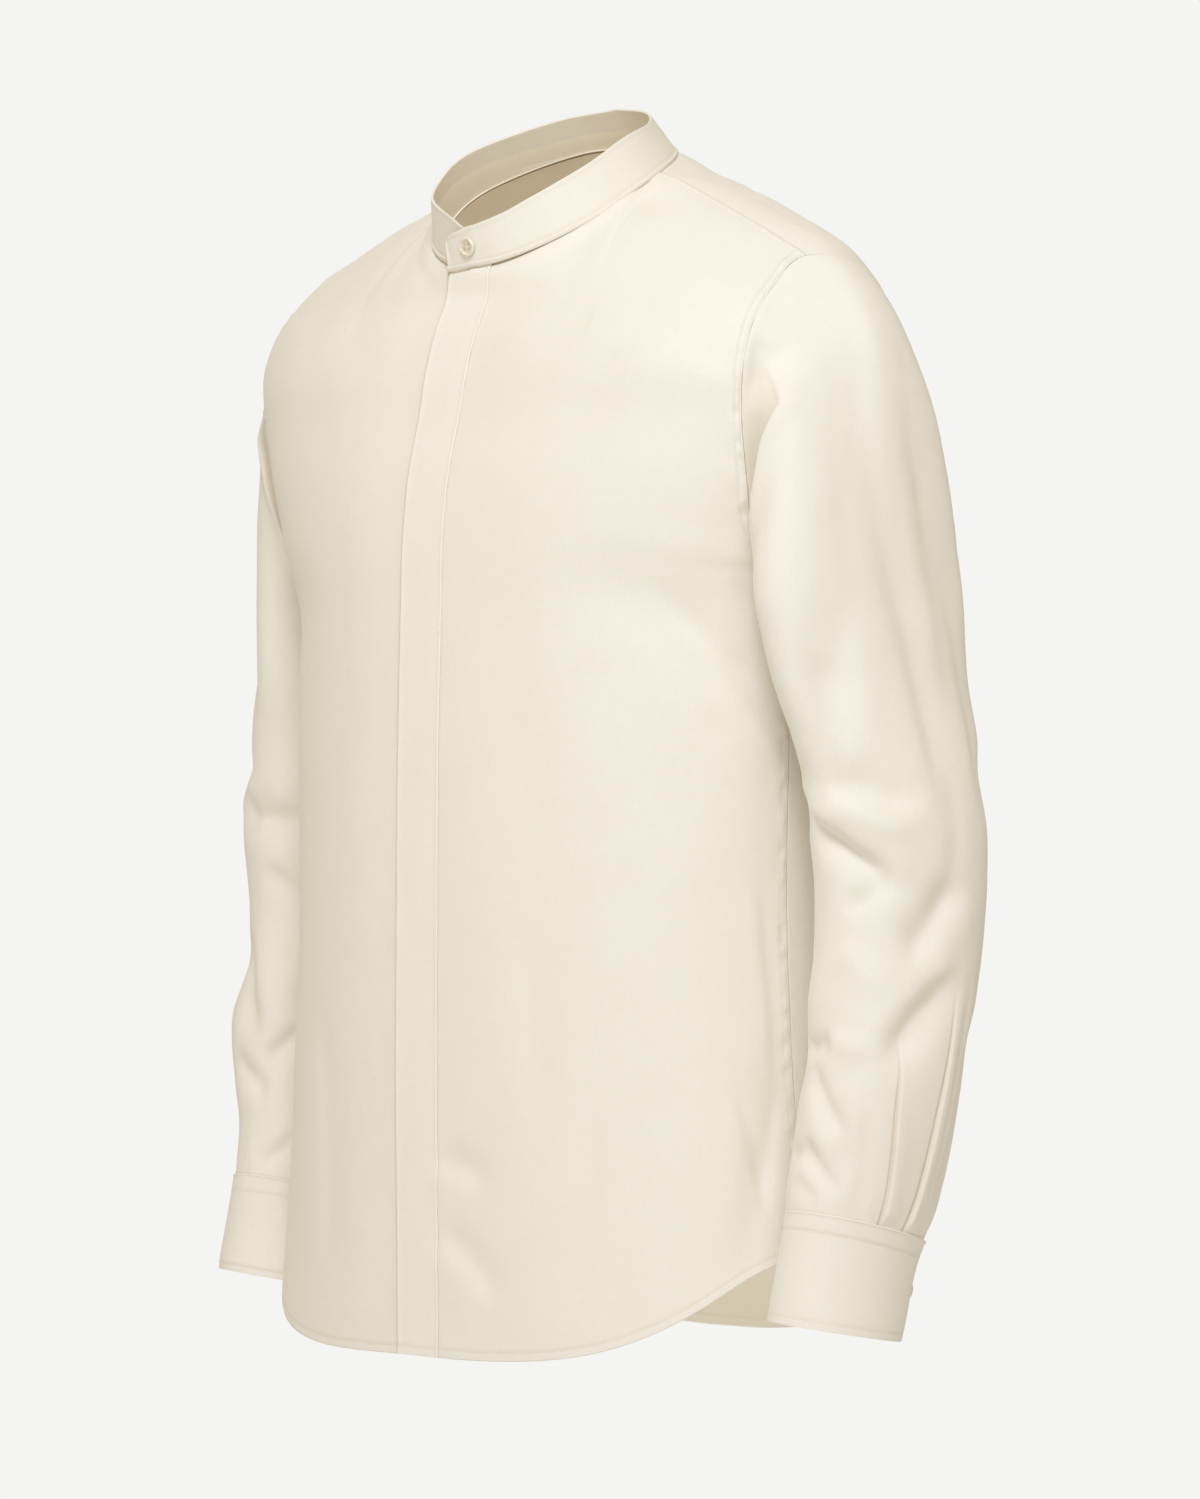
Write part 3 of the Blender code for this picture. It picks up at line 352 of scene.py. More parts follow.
def side_edge(corner, low, high):
    """The left side seam and then the armhole, up to a corner of the yoke."""
    start = 0 if corner < 0.5 else 1
    armhole = armhole_point(start + (corner - start) * high)
    seam = slice_point(90.0, SIDE_HEM_UP + (ARMPIT_UP - SIDE_HEM_UP) * low)
    return np.concatenate([moved_ends(seam, low, end=armhole[0], end_by=16 / 17), armhole[1:]])


def front_column(across, rows_up, side):
    """One column of a front panel at a distance from the middle line, from the hem to the neckline."""
    bottom = hem_up(turn_at(across, HEM["left"][0]), side)
    top = neck_point(np.degrees(np.arcsin(across / NECK_HALF_WIDTH)))
    column = front_point(across, bottom + (top[2] - bottom) * rows_up)
    return moved_ends(column, rows_up, end=top, end_by=0.97)


def front_rows(low, high):
    return np.concatenate([CHEST_SHARE * low, CHEST_SHARE + (1 - CHEST_SHARE) * high[1:]])


def front_sheet(edge_across, side, u, low, high):
    """A front, from edge_across beside the middle line to the side seam and armhole, as on the left."""
    neck_start = np.degrees(np.arcsin(edge_across / NECK_HALF_WIDTH))
    neck = neck_point(neck_start + (YOKE_NECK_TURN - neck_start) * np.minimum(2 * u, 1))
    top = np.where((u < 0.5)[:, None], neck, shoulder_seam(np.maximum(2 * u - 1, 0)))
    left = front_column(edge_across, front_rows(low, high), side)
    right = side_edge(FRONT_CORNER, low, high)
    split = len(low) - 1
    length = np.concatenate([[0], np.cumsum(np.linalg.norm(np.diff(top, axis=0), axis=1))])
    share = (length / length[-1] + (top[:, 0] - top[0, 0]) / (top[-1, 0] - top[0, 0])) / 2
    chest_up = left[split, 2] + (ARMPIT_UP - left[split, 2]) * u
    start = turn_at(edge_across, chest_up[0])
    chest = slice_point(start + (90 - start) * share**CHEST_FAN, chest_up)
    chest = moved_ends(chest, u, left[split], right[split], 1 / 12, 11 / 12)
    start = turn_at(edge_across, HEM["left"][0])
    turns = start + (90 - start) * share**CHEST_FAN
    bottom = slice_point(turns, hem_up(turns, side))
    left[0], left[-1] = bottom[0], top[0]
    return panel(bottom, chest, top, left, right, u, low, high)


def lift_of(folds, scale, around, up):
    """How far folds lift a sheet, at places whose first number is scale metres to the unit."""
    places = np.stack([around * scale, up], -1)
    lift = np.zeros(places.shape[:-1])
    for k in range(len(folds["up"])):
        start = np.array([folds["around"][k] * scale, folds["up"][k]])
        along = np.array([folds["to_around"][k] * scale, folds["to_up"][k]]) - start
        share = ((places - start) @ along) / (along @ along)
        off = np.linalg.norm(places - start - share[..., None] * along, axis=-1)
        fade = ease(share, -0.1, 0.3) * (1 - ease(share, 0.7, 1.1))
        lift += folds["depth"][k] * fade * band(off, 0, folds["width"][k])
    return lift


def creased(creases, scale, around, up):
    """How far creases lift a sheet: bowed troughs, each with a steeper side that throws up a low ridge."""
    places = np.stack([around * scale, up], -1)
    lift = np.zeros(places.shape[:-1])
    for k in range(len(creases["up"])):
        crease = {name: column[k] for name, column in creases.items()}
        start = np.array([crease["around"] * scale, crease["up"]])
        along = np.array([crease["to_around"] * scale, crease["to_up"]]) - start
        length = np.linalg.norm(along)
        share = ((places - start) @ along) / length**2
        bow = 4 * crease["bow"] * length * np.clip(share, 0, 1) * (1 - np.clip(share, 0, 1))
        off = ((places - start) @ [-along[1], along[0]]) / length - bow
        lean = crease["lean"]
        steep = crease["width"] * (1 - abs(lean))
        trough = band(off, 0, crease["width"] * (1 + lean * np.sign(off)))
        ridge = 1.2 * abs(lean) * band(off, -np.sign(lean) * 2.1 * steep, 1.4 * steep)
        fade = ease(share, -0.06, 0.30) * (1 - ease(share, 0.70, 1.06))
        lift += crease["depth"] * fade * (trough - ridge)
    return lift


def uneven(points, size, seed):
    """Smooth uneven values between about -1 and 1, in lumps of a size, or of one size for each axis."""
    spread = (points / size + seed).reshape(-1, 3)
    return np.reshape([noise.noise(Vector(place)) for place in spread], points.shape[:-1])


def from_edges(sheet):
    """How far each point is, along the cloth, from the sheet's left, right, bottom and top edges."""
    across = np.linalg.norm(np.diff(sheet, axis=1, prepend=sheet[:, :1]), axis=-1).cumsum(axis=1)
    up = np.linalg.norm(np.diff(sheet, axis=0, prepend=sheet[:1]), axis=-1).cumsum(axis=0)
    return {
        "left": across,
        "right": across[:, -1:] - across,
        "bottom": up,
        "top": up[-1:] - up,
    }


def pulled_in(sheet, edges="left right bottom top"):
    """The same sheet with its edges moved in from the seams."""
    out = sheet.copy()
    for edge, a, b in (("bottom", 0, 1), ("top", -1, -2)):
        if edge in edges:
            out[a] += INSET * unit(sheet[b] - sheet[a])
    for edge, a, b in (("left", 0, 1), ("right", -1, -2)):
        if edge in edges:
            out[:, a] += INSET * unit(sheet[:, b] - sheet[:, a])
    return out


def sewn(far, sheet, seed, turn_in=0.0, rise=0.0, rows=(), pucker=0.0):
    """The relief beside a sewn edge: doubled cloth, rows of stitches sunk in it, and slight puckers."""
    relief = rise * (1 - ease(far, turn_in - 0.0006, turn_in + 0.0010)) if turn_in else 0.0 * far
    for row in rows:
        relief = relief - STITCH_SINK * band(far, row, 0.0006)
    return relief + pucker * band(far, 0, turn_in + 0.004) * uneven(sheet, PUCKER_SIZE, seed)


def hem(far, sheet, seed, pucker=0.00022):
    """The relief of a narrow hem, and the deeper tone along its turned-up edge, partly pressed cloth and
    partly painted shade beside its step.
    """
    relief = sewn(far["bottom"], sheet, seed, HEM_TURN_UP, 0.0003, (HEM_ROW,), pucker)
    return relief, 0.5 * band(far["bottom"], HEM_TURN_UP, 0.0009)


def tuck(far):
    """How far a panel's top goes in under the collar."""
    return TUCK * (1 - ease(far["top"], 0.0012, 0.0034))


def folded_body(sheet):
    """A body sheet's folds, creases and the slight unevenness of worn cotton."""
    x, y, z = sheet[..., 0], sheet[..., 1], sheet[..., 2]
    turn = np.degrees(np.arctan2(x / body("half_width", z), (body("middle", z) - y) / 0.12))
    lift = lift_of(BODY_FOLDS, FOLD_TURN, turn, z) + creased(BODY_CREASES, FOLD_TURN, turn, z)
    lift += BODY_WAVES * uneven(sheet, (0.045, 0.045, 0.110), 3)
    return lift + BODY_RIPPLES * uneven(sheet, (0.013, 0.013, 0.034), 10)


def along_edge(sheet, edge, distance, start=0.0, end=1.0):
    """The line that runs beside an edge of a sheet at a distance, for a share of the edge's length."""
    lines = sheet if edge in ("left", "right") else sheet.transpose(1, 0, 2)
    if edge in ("right", "top"):
        lines = lines[:, ::-1]
    line = []
    for points in lines:
        far = np.linalg.norm(np.diff(points[:90], axis=0, prepend=points[:1]), axis=-1).cumsum()
        line.append([np.interp(distance, far, points[:90, k]) for k in range(3)])
    first, last = round(start * (len(line) - 1)), round(end * (len(line) - 1))
    return np.array(line[first : last + 1])


def node_group(name, inputs, outputs):
    """An empty shader group with named sockets, and its input and output nodes."""
    group = bpy.data.node_groups.new(name, "ShaderNodeTree")
    for label, kind, value in inputs:
        socket = group.interface.new_socket(label, in_out="INPUT", socket_type="NodeSocket" + kind)
        if value is not None:
            socket.default_value = value
    for label, kind in outputs:
        group.interface.new_socket(label, in_out="OUTPUT", socket_type="NodeSocket" + kind)
    return group, group.nodes.new("NodeGroupInput"), group.nodes.new("NodeGroupOutput")


def maths(tree, operation, *values, clamp=False):
    """A Math node fed by sockets or plain numbers; gives its output."""
    node = tree.nodes.new("ShaderNodeMath")
    node.operation, node.use_clamp = operation, clamp
    for socket, value in zip(node.inputs, values):
        if isinstance(value, (int, float)):
            socket.default_value = value
        else:
            tree.links.new(value, socket)
    return node.outputs[0]


def settings(node, **values):
    """Numbers and colours set on a node's own sockets, whose names have _ for a space here."""
    for label, value in values.items():
        node.inputs[label.replace("_", " ")].default_value = value


def speckle(tree, place, scale, detail=2.0, stretch=(1, 1, 1)):
    """A Noise node on stretched places; gives its grey output."""
    mapping = tree.nodes.new("ShaderNodeMapping")
    settings(mapping, Scale=stretch)
    tree.links.new(place, mapping.inputs["Vector"])
    texture = tree.nodes.new("ShaderNodeTexNoise")
    settings(texture, Scale=scale, Detail=detail)
    tree.links.new(mapping.outputs[0], texture.inputs["Vector"])
    return texture.outputs["Fac"]


def ramp(tree, grey, *stops):
    """A Color Ramp on a grey, through stops of a place and a colour; gives its colour."""
    node = tree.nodes.new("ShaderNodeValToRGB")
    elements = node.color_ramp.elements
    while len(elements) < len(stops):
        elements.new(1.0)
    for k, (at, colour) in enumerate(stops):
        elements[k].position, elements[k].color = at, (*colour, 1)
    tree.links.new(grey, node.inputs["Fac"])
    return node.outputs["Color"]


def material(name):
    """A new material, with its node tree and its Principled shader."""
    finish = bpy.data.materials.new(name)
    finish.use_nodes = True
    return finish, finish.node_tree, finish.node_tree.nodes["Principled BSDF"]


# Poplin: fine close warp threads over slightly thicker weft threads, here and there a thicker thread, and a
# deeper tone from the sewn attribute, partly cloth pressed by the sewing and partly painted shade in grooves,
# recesses and under laps.
poplin, given, gives = node_group(
    "poplin",
    [
        ("Cloth", "Vector", None),
        ("Warp per metre", "Float", 4400.0),
        ("Weft per metre", "Float", 2600.0),
        ("Yarn", "Color", (0.83, 0.79, 0.70, 1)),
        ("Deep", "Color", (0.66, 0.58, 0.46, 1)),
        ("Pressed and shaded", "Float", 0.0),
    ],
    [("Colour", "Color"), ("Height", "Float"), ("Roughness", "Float")],
)


def times(a, b):
    return maths(poplin, "MULTIPLY", a, b)


def plus(a, b):
    return maths(poplin, "ADD", a, b)


def less(a, b):
    return maths(poplin, "SUBTRACT", a, b)


place = given.outputs["Cloth"]
apart = poplin.nodes.new("ShaderNodeSeparateXYZ")
poplin.links.new(place, apart.inputs[0])
waves = []
for axis, count in ((0, "Warp per metre"), (1, "Weft per metre")):
    turns = times(apart.outputs[axis], given.outputs[count])
    waves.append(maths(poplin, "SINE", times(turns, math.pi)))
over = times(waves[0], waves[1])
threads = times(maths(poplin, "ABSOLUTE", waves[0]), maths(poplin, "ABSOLUTE", waves[1]))
weave = plus(times(over, 0.5), threads)
slubs = plus(speckle(poplin, place, 1.0, 3.0, (90, 1900, 1)), speckle(poplin, place, 1.0, 3.0, (2300, 70, 1)))
clouds = speckle(poplin, place, 22.0, 3.0)
poplin.links.new(plus(times(weave, 0.35), times(slubs, 0.8)), gives.inputs["Height"])
tone = times(less(slubs, 1.0), 0.30)
tone = plus(tone, times(less(clouds, 0.5), 0.16))
tone = plus(tone, times(less(0.5, threads), 0.07))
# The deeper tone: partly pressed cloth, partly painted shade.
tone = plus(tone, times(given.outputs["Pressed and shaded"], 0.55))
tone = maths(poplin, "ADD", tone, 0.06, clamp=True)
mixed = poplin.nodes.new("ShaderNodeMix")
mixed.data_type = "RGBA"
poplin.links.new(tone, mixed.inputs["Factor"])
poplin.links.new(given.outputs["Yarn"], mixed.inputs["A"])
poplin.links.new(given.outputs["Deep"], mixed.inputs["B"])
poplin.links.new(mixed.outputs["Result"], gives.inputs["Colour"])
poplin.links.new(plus(times(slubs, 0.12), 0.68), gives.inputs["Roughness"])

YARN = (0.885, 0.846, 0.768)
SHADED_YARN = (0.66, 0.58, 0.46)
WARP, WEFT = 4400.0, 2600.0


def cotton(name, yarn=YARN, deep=SHADED_YARN, turned=False, painted_glow=0.0):
    """A poplin; turned lays its warp across the piece, and the last number is a warm glow painted on it,
    standing in for light that comes through the cloth.
    """
    finish, tree, surface = material(name)
    place = tree.nodes.new("ShaderNodeUVMap")
    weave = tree.nodes.new("ShaderNodeGroup")
    weave.node_tree = poplin
    warp, weft = (WEFT, WARP) if turned else (WARP, WEFT)
    settings(weave, Yarn=(*yarn, 1), Deep=(*deep, 1), Warp_per_metre=warp, Weft_per_metre=weft)
    # The sewn attribute deepens the tone: partly pressed cloth, partly painted shade.
    pressed_and_shaded = tree.nodes.new("ShaderNodeAttribute")
    pressed_and_shaded.attribute_name = "sewn"
    tree.links.new(place.outputs["UV"], weave.inputs["Cloth"])
    tree.links.new(pressed_and_shaded.outputs["Fac"], weave.inputs["Pressed and shaded"])
    bump = tree.nodes.new("ShaderNodeBump")
    settings(bump, Strength=0.5, Distance=0.00006)
    tree.links.new(weave.outputs["Height"], bump.inputs["Height"])
    tree.links.new(weave.outputs["Colour"], surface.inputs["Base Color"])
    tree.links.new(weave.outputs["Roughness"], surface.inputs["Roughness"])
    tree.links.new(bump.outputs["Normal"], surface.inputs["Normal"])
    settings(surface, Sheen_Weight=0.12, Sheen_Roughness=0.45, Specular_IOR_Level=0.22)
    # A warm painted glow.
    settings(surface, Emission_Color=(1.0, 0.84, 0.60, 1), Emission_Strength=painted_glow)
    return finish


body_cotton = cotton("body_cotton")
# The inner faces: the same poplin with a warm painted glow.
inside_glow_cotton = cotton("inside_glow_cotton", painted_glow=0.09)
thread, tree, surface = material("sewing_thread")
twist = tree.nodes.new("ShaderNodeTexCoord").outputs["Object"]
ply = speckle(tree, twist, 2600.0, 1.0)
ply = ramp(tree, ply, (0, (0.70, 0.64, 0.53)), (1, (0.86, 0.81, 0.71)))
tree.links.new(ply, surface.inputs["Base Color"])
settings(surface, Roughness=0.55, Sheen_Weight=0.1)


def mesh_of(name, mesh):
    """A mesh from a bmesh, which is freed."""
    data = bpy.data.meshes.new(name)
    mesh.to_mesh(data)
    mesh.free()
    return data


def added(name, data):
    """A new object, in the scene."""
    piece = bpy.data.objects.new(name, data)
    bpy.context.scene.collection.objects.link(piece)
    return piece


def shown(name, mesh, finish):
    """An object from a bmesh, riding with the shirt."""
    data = mesh_of(name, mesh)
    data.shade_smooth()
    data.materials.append(finish)
    piece = added(name, data)
    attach(piece, "root")
    return piece


def cloth(
    name, sheet, outward, finish, thick=CLOTH_THICK, pressed_and_shaded=0.0, ring=False, rounded=0.0, inner=inside_glow_cotton
):
    """A shell of cloth on a sheet of outer points, with its weave laid out in metres."""
    far = from_edges(sheet)
    rows, columns = sheet.shape[:2]
    mesh = bmesh.new()
    bmesh.ops.create_grid(mesh, x_segments=columns - 1, y_segments=rows - 1, size=1)
    weave = mesh.loops.layers.uv.new("cloth")
    # The sewn attribute: a deeper tone, partly pressed cloth and partly painted shade.
    pressed_and_shaded_layer = mesh.verts.layers.float.new("sewn")
    points, across, up = sheet.reshape(-1, 3), far["left"].ravel(), far["bottom"].ravel()
    pressed_and_shaded = pressed_and_shaded + np.zeros((rows, columns))
    for vert, point, pressed_and_shaded_value in zip(mesh.verts, points, pressed_and_shaded.ravel()):
        vert.co = point
        vert[pressed_and_shaded_layer] = pressed_and_shaded_value
    for face in mesh.faces:
        for loop in face.loops:
            loop[weave].uv = (across[loop.vert.index], up[loop.vert.index])
    mesh.verts.ensure_lookup_table()
    mesh.faces.ensure_lookup_table()
    mesh.verts.index_update()
    face = mesh.faces[len(mesh.faces) // 2 + columns // 2]
    face.normal_update()
    way = outward.reshape(-1, 3)[face.verts[0].index]
    if face.normal.dot(Vector(way)) < 0:
        bmesh.ops.reverse_faces(mesh, faces=mesh.faces)
    if ring:
        bmesh.ops.remove_doubles(mesh, verts=mesh.verts, dist=1e-6)
    piece = shown(name, mesh, finish)
    piece.data.materials.append(inner)
    shell = piece.modifiers.new("thickness", "SOLIDIFY")
    shell.thickness, shell.offset, shell.material_offset = thick, -1, 1
    if rounded:
        edges = piece.modifiers.new("edges", "BEVEL")
        edges.width, edges.segments, edges.limit_method = rounded, 2, "ANGLE"
    return piece


def stitches(name, *lines, pitch=0.0030, size=0.00016):
    """Rows of short stitches, sunk half into the cloth along lines."""
    ball = bmesh.new()
    bmesh.ops.create_uvsphere(ball, u_segments=5, v_segments=4, radius=1)
    stitch = mesh_of("stitch", ball)
    mesh = bmesh.new()
    for line in lines:
        far = np.linalg.norm(np.diff(line, axis=0, prepend=line[:1]), axis=-1).cumsum()
        count = max(int(far[-1] / pitch), 1)
        for k in range(count):
            ends = [(k + 0.12) / count, (k + 0.88) / count]
            a, b = (
                Vector([np.interp(end * far[-1], far, line[:, axis]) for axis in range(3)])
                for end in ends
            )
            turned = (b - a).to_track_quat("X", "Z").to_matrix().to_4x4()
            long = Matrix.Diagonal(((b - a).length / 2, size, size, 1))
            placed = stitch.copy()
            placed.transform(Matrix.Translation((a + b) / 2) @ turned @ long)
            mesh.from_mesh(placed)
            bpy.data.meshes.remove(placed)
    bpy.data.meshes.remove(stitch)
    return shown(name, mesh, thread)


low = divided(0.412, CLOTH_STEP, (0, 0.0008, 0.0020, 0.0032, 0.0044, 0.0052, 0.0060, 0.0070, 0.0082))
high = divided(0.245, CLOTH_STEP, (), (0, 0.0008, 0.0020, 0.0035))
columns = divided(0.320, CLOTH_STEP, (0, 0.0012), (0, 0.0009, 0.0020, 0.0034, 0.0048, 0.0060, 0.0070, 0.0084))
FELL_ROWS = (0.0014, 0.0062)
FELL_RISE = 0.00028
LADDER_LIFT, LADDER_AT, LADDER_WIDTH = 0.0020, 0.0040, 0.0026
# How deep the painted shadow under the fly's free edge is, and where it fades out.
FLY_SHADE, FLY_SHADE_FROM, FLY_SHADE_TO = 1.3, PLACKET_HALF + 0.0026, PLACKET_HALF + 0.0052
for side in ("left", "right"):
    edge = PLACKET_HALF + (INSET if side == "left" else FINE_BESIDE_FLY)
    sheet = front_sheet(edge, side, columns, low, high)
    if side == "left":
        across = PLACKET_HALF - np.array([0.0050, 0.0030, 0.0016, 0.0008])
    else:
        across = np.arange(-(PLACKET_HALF - 0.0005), PLACKET_HALF, CLOTH_STEP)
        across = np.append(across, np.arange(PLACKET_HALF + 0.0004, edge - 0.0004, 0.0008))
    under = [front_column(a, front_rows(low, high), side)[:, None] for a in across]
    sheet = np.concatenate(under + [sheet], axis=1)
    if side == "left":
        depth = UNDER_EDGE * (1 - ease(sheet[..., 0], PLACKET_HALF - 0.0018, PLACKET_HALF - 0.0001))
    else:
        depth = UNDER_PLACKET * (1 - ease(sheet[..., 0], PLACKET_HALF + 0.001, UNDER_PLACKET_REACH))
    sheet = sheet - body_out(sheet) * depth[..., None]
    outward = body_out(sheet)
    if side == "right":
        sheet, outward = mirrored(sheet), mirrored(outward)
    sheet = pulled_in(sheet)
    far = from_edges(sheet)
    seed = {"left": 3, "right": 11}[side]
    hem_lift, pressed_and_shaded = hem(far, sheet, seed)
    lift = folded_body(sheet) + hem_lift
    lift += sewn(far["right"], sheet, seed + 1, FELL + 0.0005, FELL_RISE, FELL_ROWS, 0.00030)
    ladder = uneven(sheet, (0.030, 0.030, 0.0058), seed + 2)
    lift += LADDER_LIFT * ladder * band(far["right"], LADDER_AT, LADDER_WIDTH)
    lift -= tuck(far) * (abs(sheet[..., 0]) < NECK_HALF_WIDTH - 0.001)
    sheet = sheet + outward * lift[..., None]
    # A deeper tone along the felled rows, partly pressed cloth and partly painted shade in their grooves.
    for row in FELL_ROWS:
        pressed_and_shaded += 0.35 * band(far["right"], row, 0.0007)
    # Painted shadow on the right front under the fly's free edge.
    if side == "right":
        pressed_and_shaded += FLY_SHADE * (1 - ease(-sheet[..., 0], FLY_SHADE_FROM, FLY_SHADE_TO))
    node = "front_" + side
    front = cloth(node + "_panel", sheet, outward, body_cotton, pressed_and_shaded=pressed_and_shaded)
    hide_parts(node)
    stitches(
        node + "_stitches",
        along_edge(sheet, "bottom", HEM_ROW),
        *[along_edge(sheet, "right", row) for row in FELL_ROWS],
    )


# The fly placket
# A straight folded strip of the same poplin, set down the left front's edge and lapped over the right one.
# Its folded edge is free, and the other one is stitched down.

PLACKET_PROUD = 0.0006
PLACKET_THICK = 0.0010
PLACKET_ROW = 0.0016
PLACKET_TOP_DOWN = 0.0010
STITCHED_DROP, FREE_RISE = 0.0002, 0.0004
ROLL_RISE, ROLL_AT, ROLL_WIDTH = 0.00045, 0.0009, 0.0008
across = divided(2 * PLACKET_HALF, 0.0022, (0, 0.0008, 0.0018), (0, 0.0008, 0.0016, 0.0024, 0.0036))
across = 2 * PLACKET_HALF * across - PLACKET_HALF
sheet = np.stack([front_column(a, front_rows(low, high), "left") for a in across], axis=1)
outward = body_out(sheet)
sheet = pulled_in(sheet + outward * PLACKET_PROUD)
sheet[-1] += PLACKET_TOP_DOWN * unit(sheet[-3] - sheet[-1])
far = from_edges(sheet)
lift = folded_body(sheet)
lift -= STITCHED_DROP * (1 - ease(far["right"], 0.0004, 0.0040))
lift += FREE_RISE * (1 - ease(far["left"], 0.0, 0.0030))
lift -= tuck(far)
lift += ROLL_RISE * band(far["right"], ROLL_AT, ROLL_WIDTH)
lift += sewn(far["right"], sheet, 5, 0.0, 0.0, (), 0.00018)
lift += sewn(far["left"], sheet, 6, 0.0, 0.0, (), 0.00016)
hem_lift, pressed_and_shaded = hem(far, sheet, 7, 0.0001)
lift += hem_lift
sheet = sheet + outward * lift[..., None]
# A faint line of painted shade beside the stitched edge.
pressed_and_shaded += 0.1 * band(far["right"], 0.0030, 0.0008)
# The same poplin painted a little lighter, standing in for the brighter light on the doubled strip.
placket_painted_lighter_cotton = cotton("placket_painted_lighter_cotton", (0.915, 0.878, 0.803))
placket = cloth("fly_placket", sheet, outward, placket_painted_lighter_cotton, PLACKET_THICK, pressed_and_shaded, rounded=0.0003)
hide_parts("placket")
stitches(
    "placket_stitches",
    along_edge(sheet, "right", PLACKET_ROW, 0.02),
    along_edge(sheet, "bottom", HEM_ROW),
)


# The back
# One panel of the same poplin under the yoke, with a curved tail that hangs a little lower than the sides
# and has the same narrow hem.

YOKE_BACK_UP = -0.088


def back_seam(share):
    """The yoke's back seam, from the left armhole to the right."""
    corner = armhole_point(BACK_CORNER)
    across = corner[0] * (1 - 2 * share)
    up = YOKE_BACK_UP + (corner[2] - YOKE_BACK_UP) * (across / corner[0]) ** 2
    power = body("power", up)
    depth = (1 - (np.abs(across) / body("half_width", up)) ** power) ** (1 / power)
    seam = np.stack([across, body("middle", up) + body("back", up) * depth, up], -1)
    return moved_ends(seam, share, corner, mirrored(corner), 1 / 22, 21 / 22)


columns = divided(0.560, CLOTH_STEP, (0, 0.0010, 0.0022), (0, 0.0010, 0.0022))
left = side_edge(BACK_CORNER, low, high)
split = len(low) - 1
turns = 90 + 180 * columns
chest = slice_point(turns, np.full(len(turns), ARMPIT_UP))
chest = moved_ends(chest, columns, left[split], mirrored(left[split]), 1 / 22, 21 / 22)
bottom = slice_point(turns, hem_up(180 - np.abs(180 - turns)))
top = back_seam(columns)
sheet = panel(bottom, chest, top, left, mirrored(left), columns, low, high)
outward = body_out(sheet)
sheet = pulled_in(sheet)
far = from_edges(sheet)
hem_lift, pressed_and_shaded = hem(far, sheet, 23)
lift = folded_body(sheet) + hem_lift
for edge in ("left", "right", "top"):
    lift += sewn(far[edge], sheet, 24, 0.0, 0.0, (), 0.00022)
sheet = sheet + outward * lift[..., None]
back = cloth("back_panel", sheet, outward, body_cotton, pressed_and_shaded=pressed_and_shaded)
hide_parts("back")
stitches("back_hem_stitches", along_edge(sheet, "bottom", HEM_ROW))


# The yoke
# A shaped piece over both shoulders, doubled, so that it lies a little prouder than the panels. It is
# stitched down on them along its front and back edges.

YOKE_EDGE = 0.0012
YOKE_ROW = YOKE_EDGE + 0.0002
YOKE_RISE = 0.0004
YOKE_LAP = 0.0009
YOKE_THICK = 0.0011
NECK_FROM, NECK_TO = 6 / 22, 16 / 22
NECK_END = 0.01
columns = divided(0.640, CLOTH_STEP, (0, 0.0010, 0.0022), (0, 0.0010, 0.0022))
rows = divided(
    0.125, CLOTH_STEP, (0, 0.0006, 0.0012, 0.0020, 0.0030, 0.0042), (0, 0.0006, 0.0012, 0.0020, 0.0030)
)
turns = YOKE_NECK_TURN + (360 - 2 * YOKE_NECK_TURN) * (columns - NECK_FROM) / (NECK_TO - NECK_FROM)
share = np.where(columns < 0.5, 1 - columns / NECK_FROM, (columns - NECK_TO) / NECK_FROM)
shoulder = shoulder_seam(np.clip(share, 0, 1))
top = np.where(((columns > NECK_FROM) & (columns < NECK_TO))[:, None], neck_point(turns), shoulder)
top = np.where((columns >= NECK_TO)[:, None], mirrored(shoulder), top)
left = armhole_point(BACK_CORNER + (FRONT_CORNER - BACK_CORNER) * rows)
sheet = patch(back_seam(columns), mirrored(left), top, left, columns, rows, fading=False)
outward = body_out(sheet)
sheet = pulled_in(sheet, "left right bottom")
far = from_edges(sheet)
at_neck = ease(columns, NECK_FROM - NECK_END, NECK_FROM) * (1 - ease(columns, NECK_TO, NECK_TO + NECK_END))
on_shoulder = (1 - at_neck)[None]
lift = folded_body(sheet)
lift += sewn(far["bottom"], sheet, 31, YOKE_EDGE, YOKE_RISE, (YOKE_ROW,), 0.00022)
lift += on_shoulder * sewn(far["top"], sheet, 32, YOKE_EDGE, YOKE_RISE, (YOKE_ROW,), 0.00022)
for edge in ("left", "right"):
    lift += sewn(far[edge], sheet, 33, 0.0, 0.0, (), 0.00024)
lift -= tuck(far) * (1 - on_shoulder)
sheet = sheet + outward * lift[..., None]
sheet[-1] += YOKE_LAP * on_shoulder[0][:, None] * unit(sheet[-1] - sheet[-3])
# A deeper tone along both stitched edges, partly pressed cloth and partly painted shade under the yoke's lip.
pressed_and_shaded = 0.3 * band(far["bottom"], YOKE_EDGE, 0.0008)
pressed_and_shaded += 0.6 * on_shoulder * band(far["top"], YOKE_EDGE, 0.0008)
yoke_cotton = cotton("yoke_cotton", turned=True)
# Its inner faces: the same poplin painted a little deeper and warmer as shade, with a warm painted glow.
yoke_inside_glow = cotton("yoke_inside_cotton", (0.885, 0.835, 0.74), painted_glow=0.055)
yoke = cloth("shoulder_yoke", sheet, outward, yoke_cotton, YOKE_THICK, pressed_and_shaded, inner=yoke_inside_glow)
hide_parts("yoke")
stitches(
    "yoke_stitches",
    along_edge(sheet, "bottom", YOKE_ROW),
    along_edge(sheet, "top", YOKE_ROW, 0.0, NECK_FROM - NECK_END),
    along_edge(sheet, "top", YOKE_ROW, NECK_TO + NECK_END, 1.0),
)


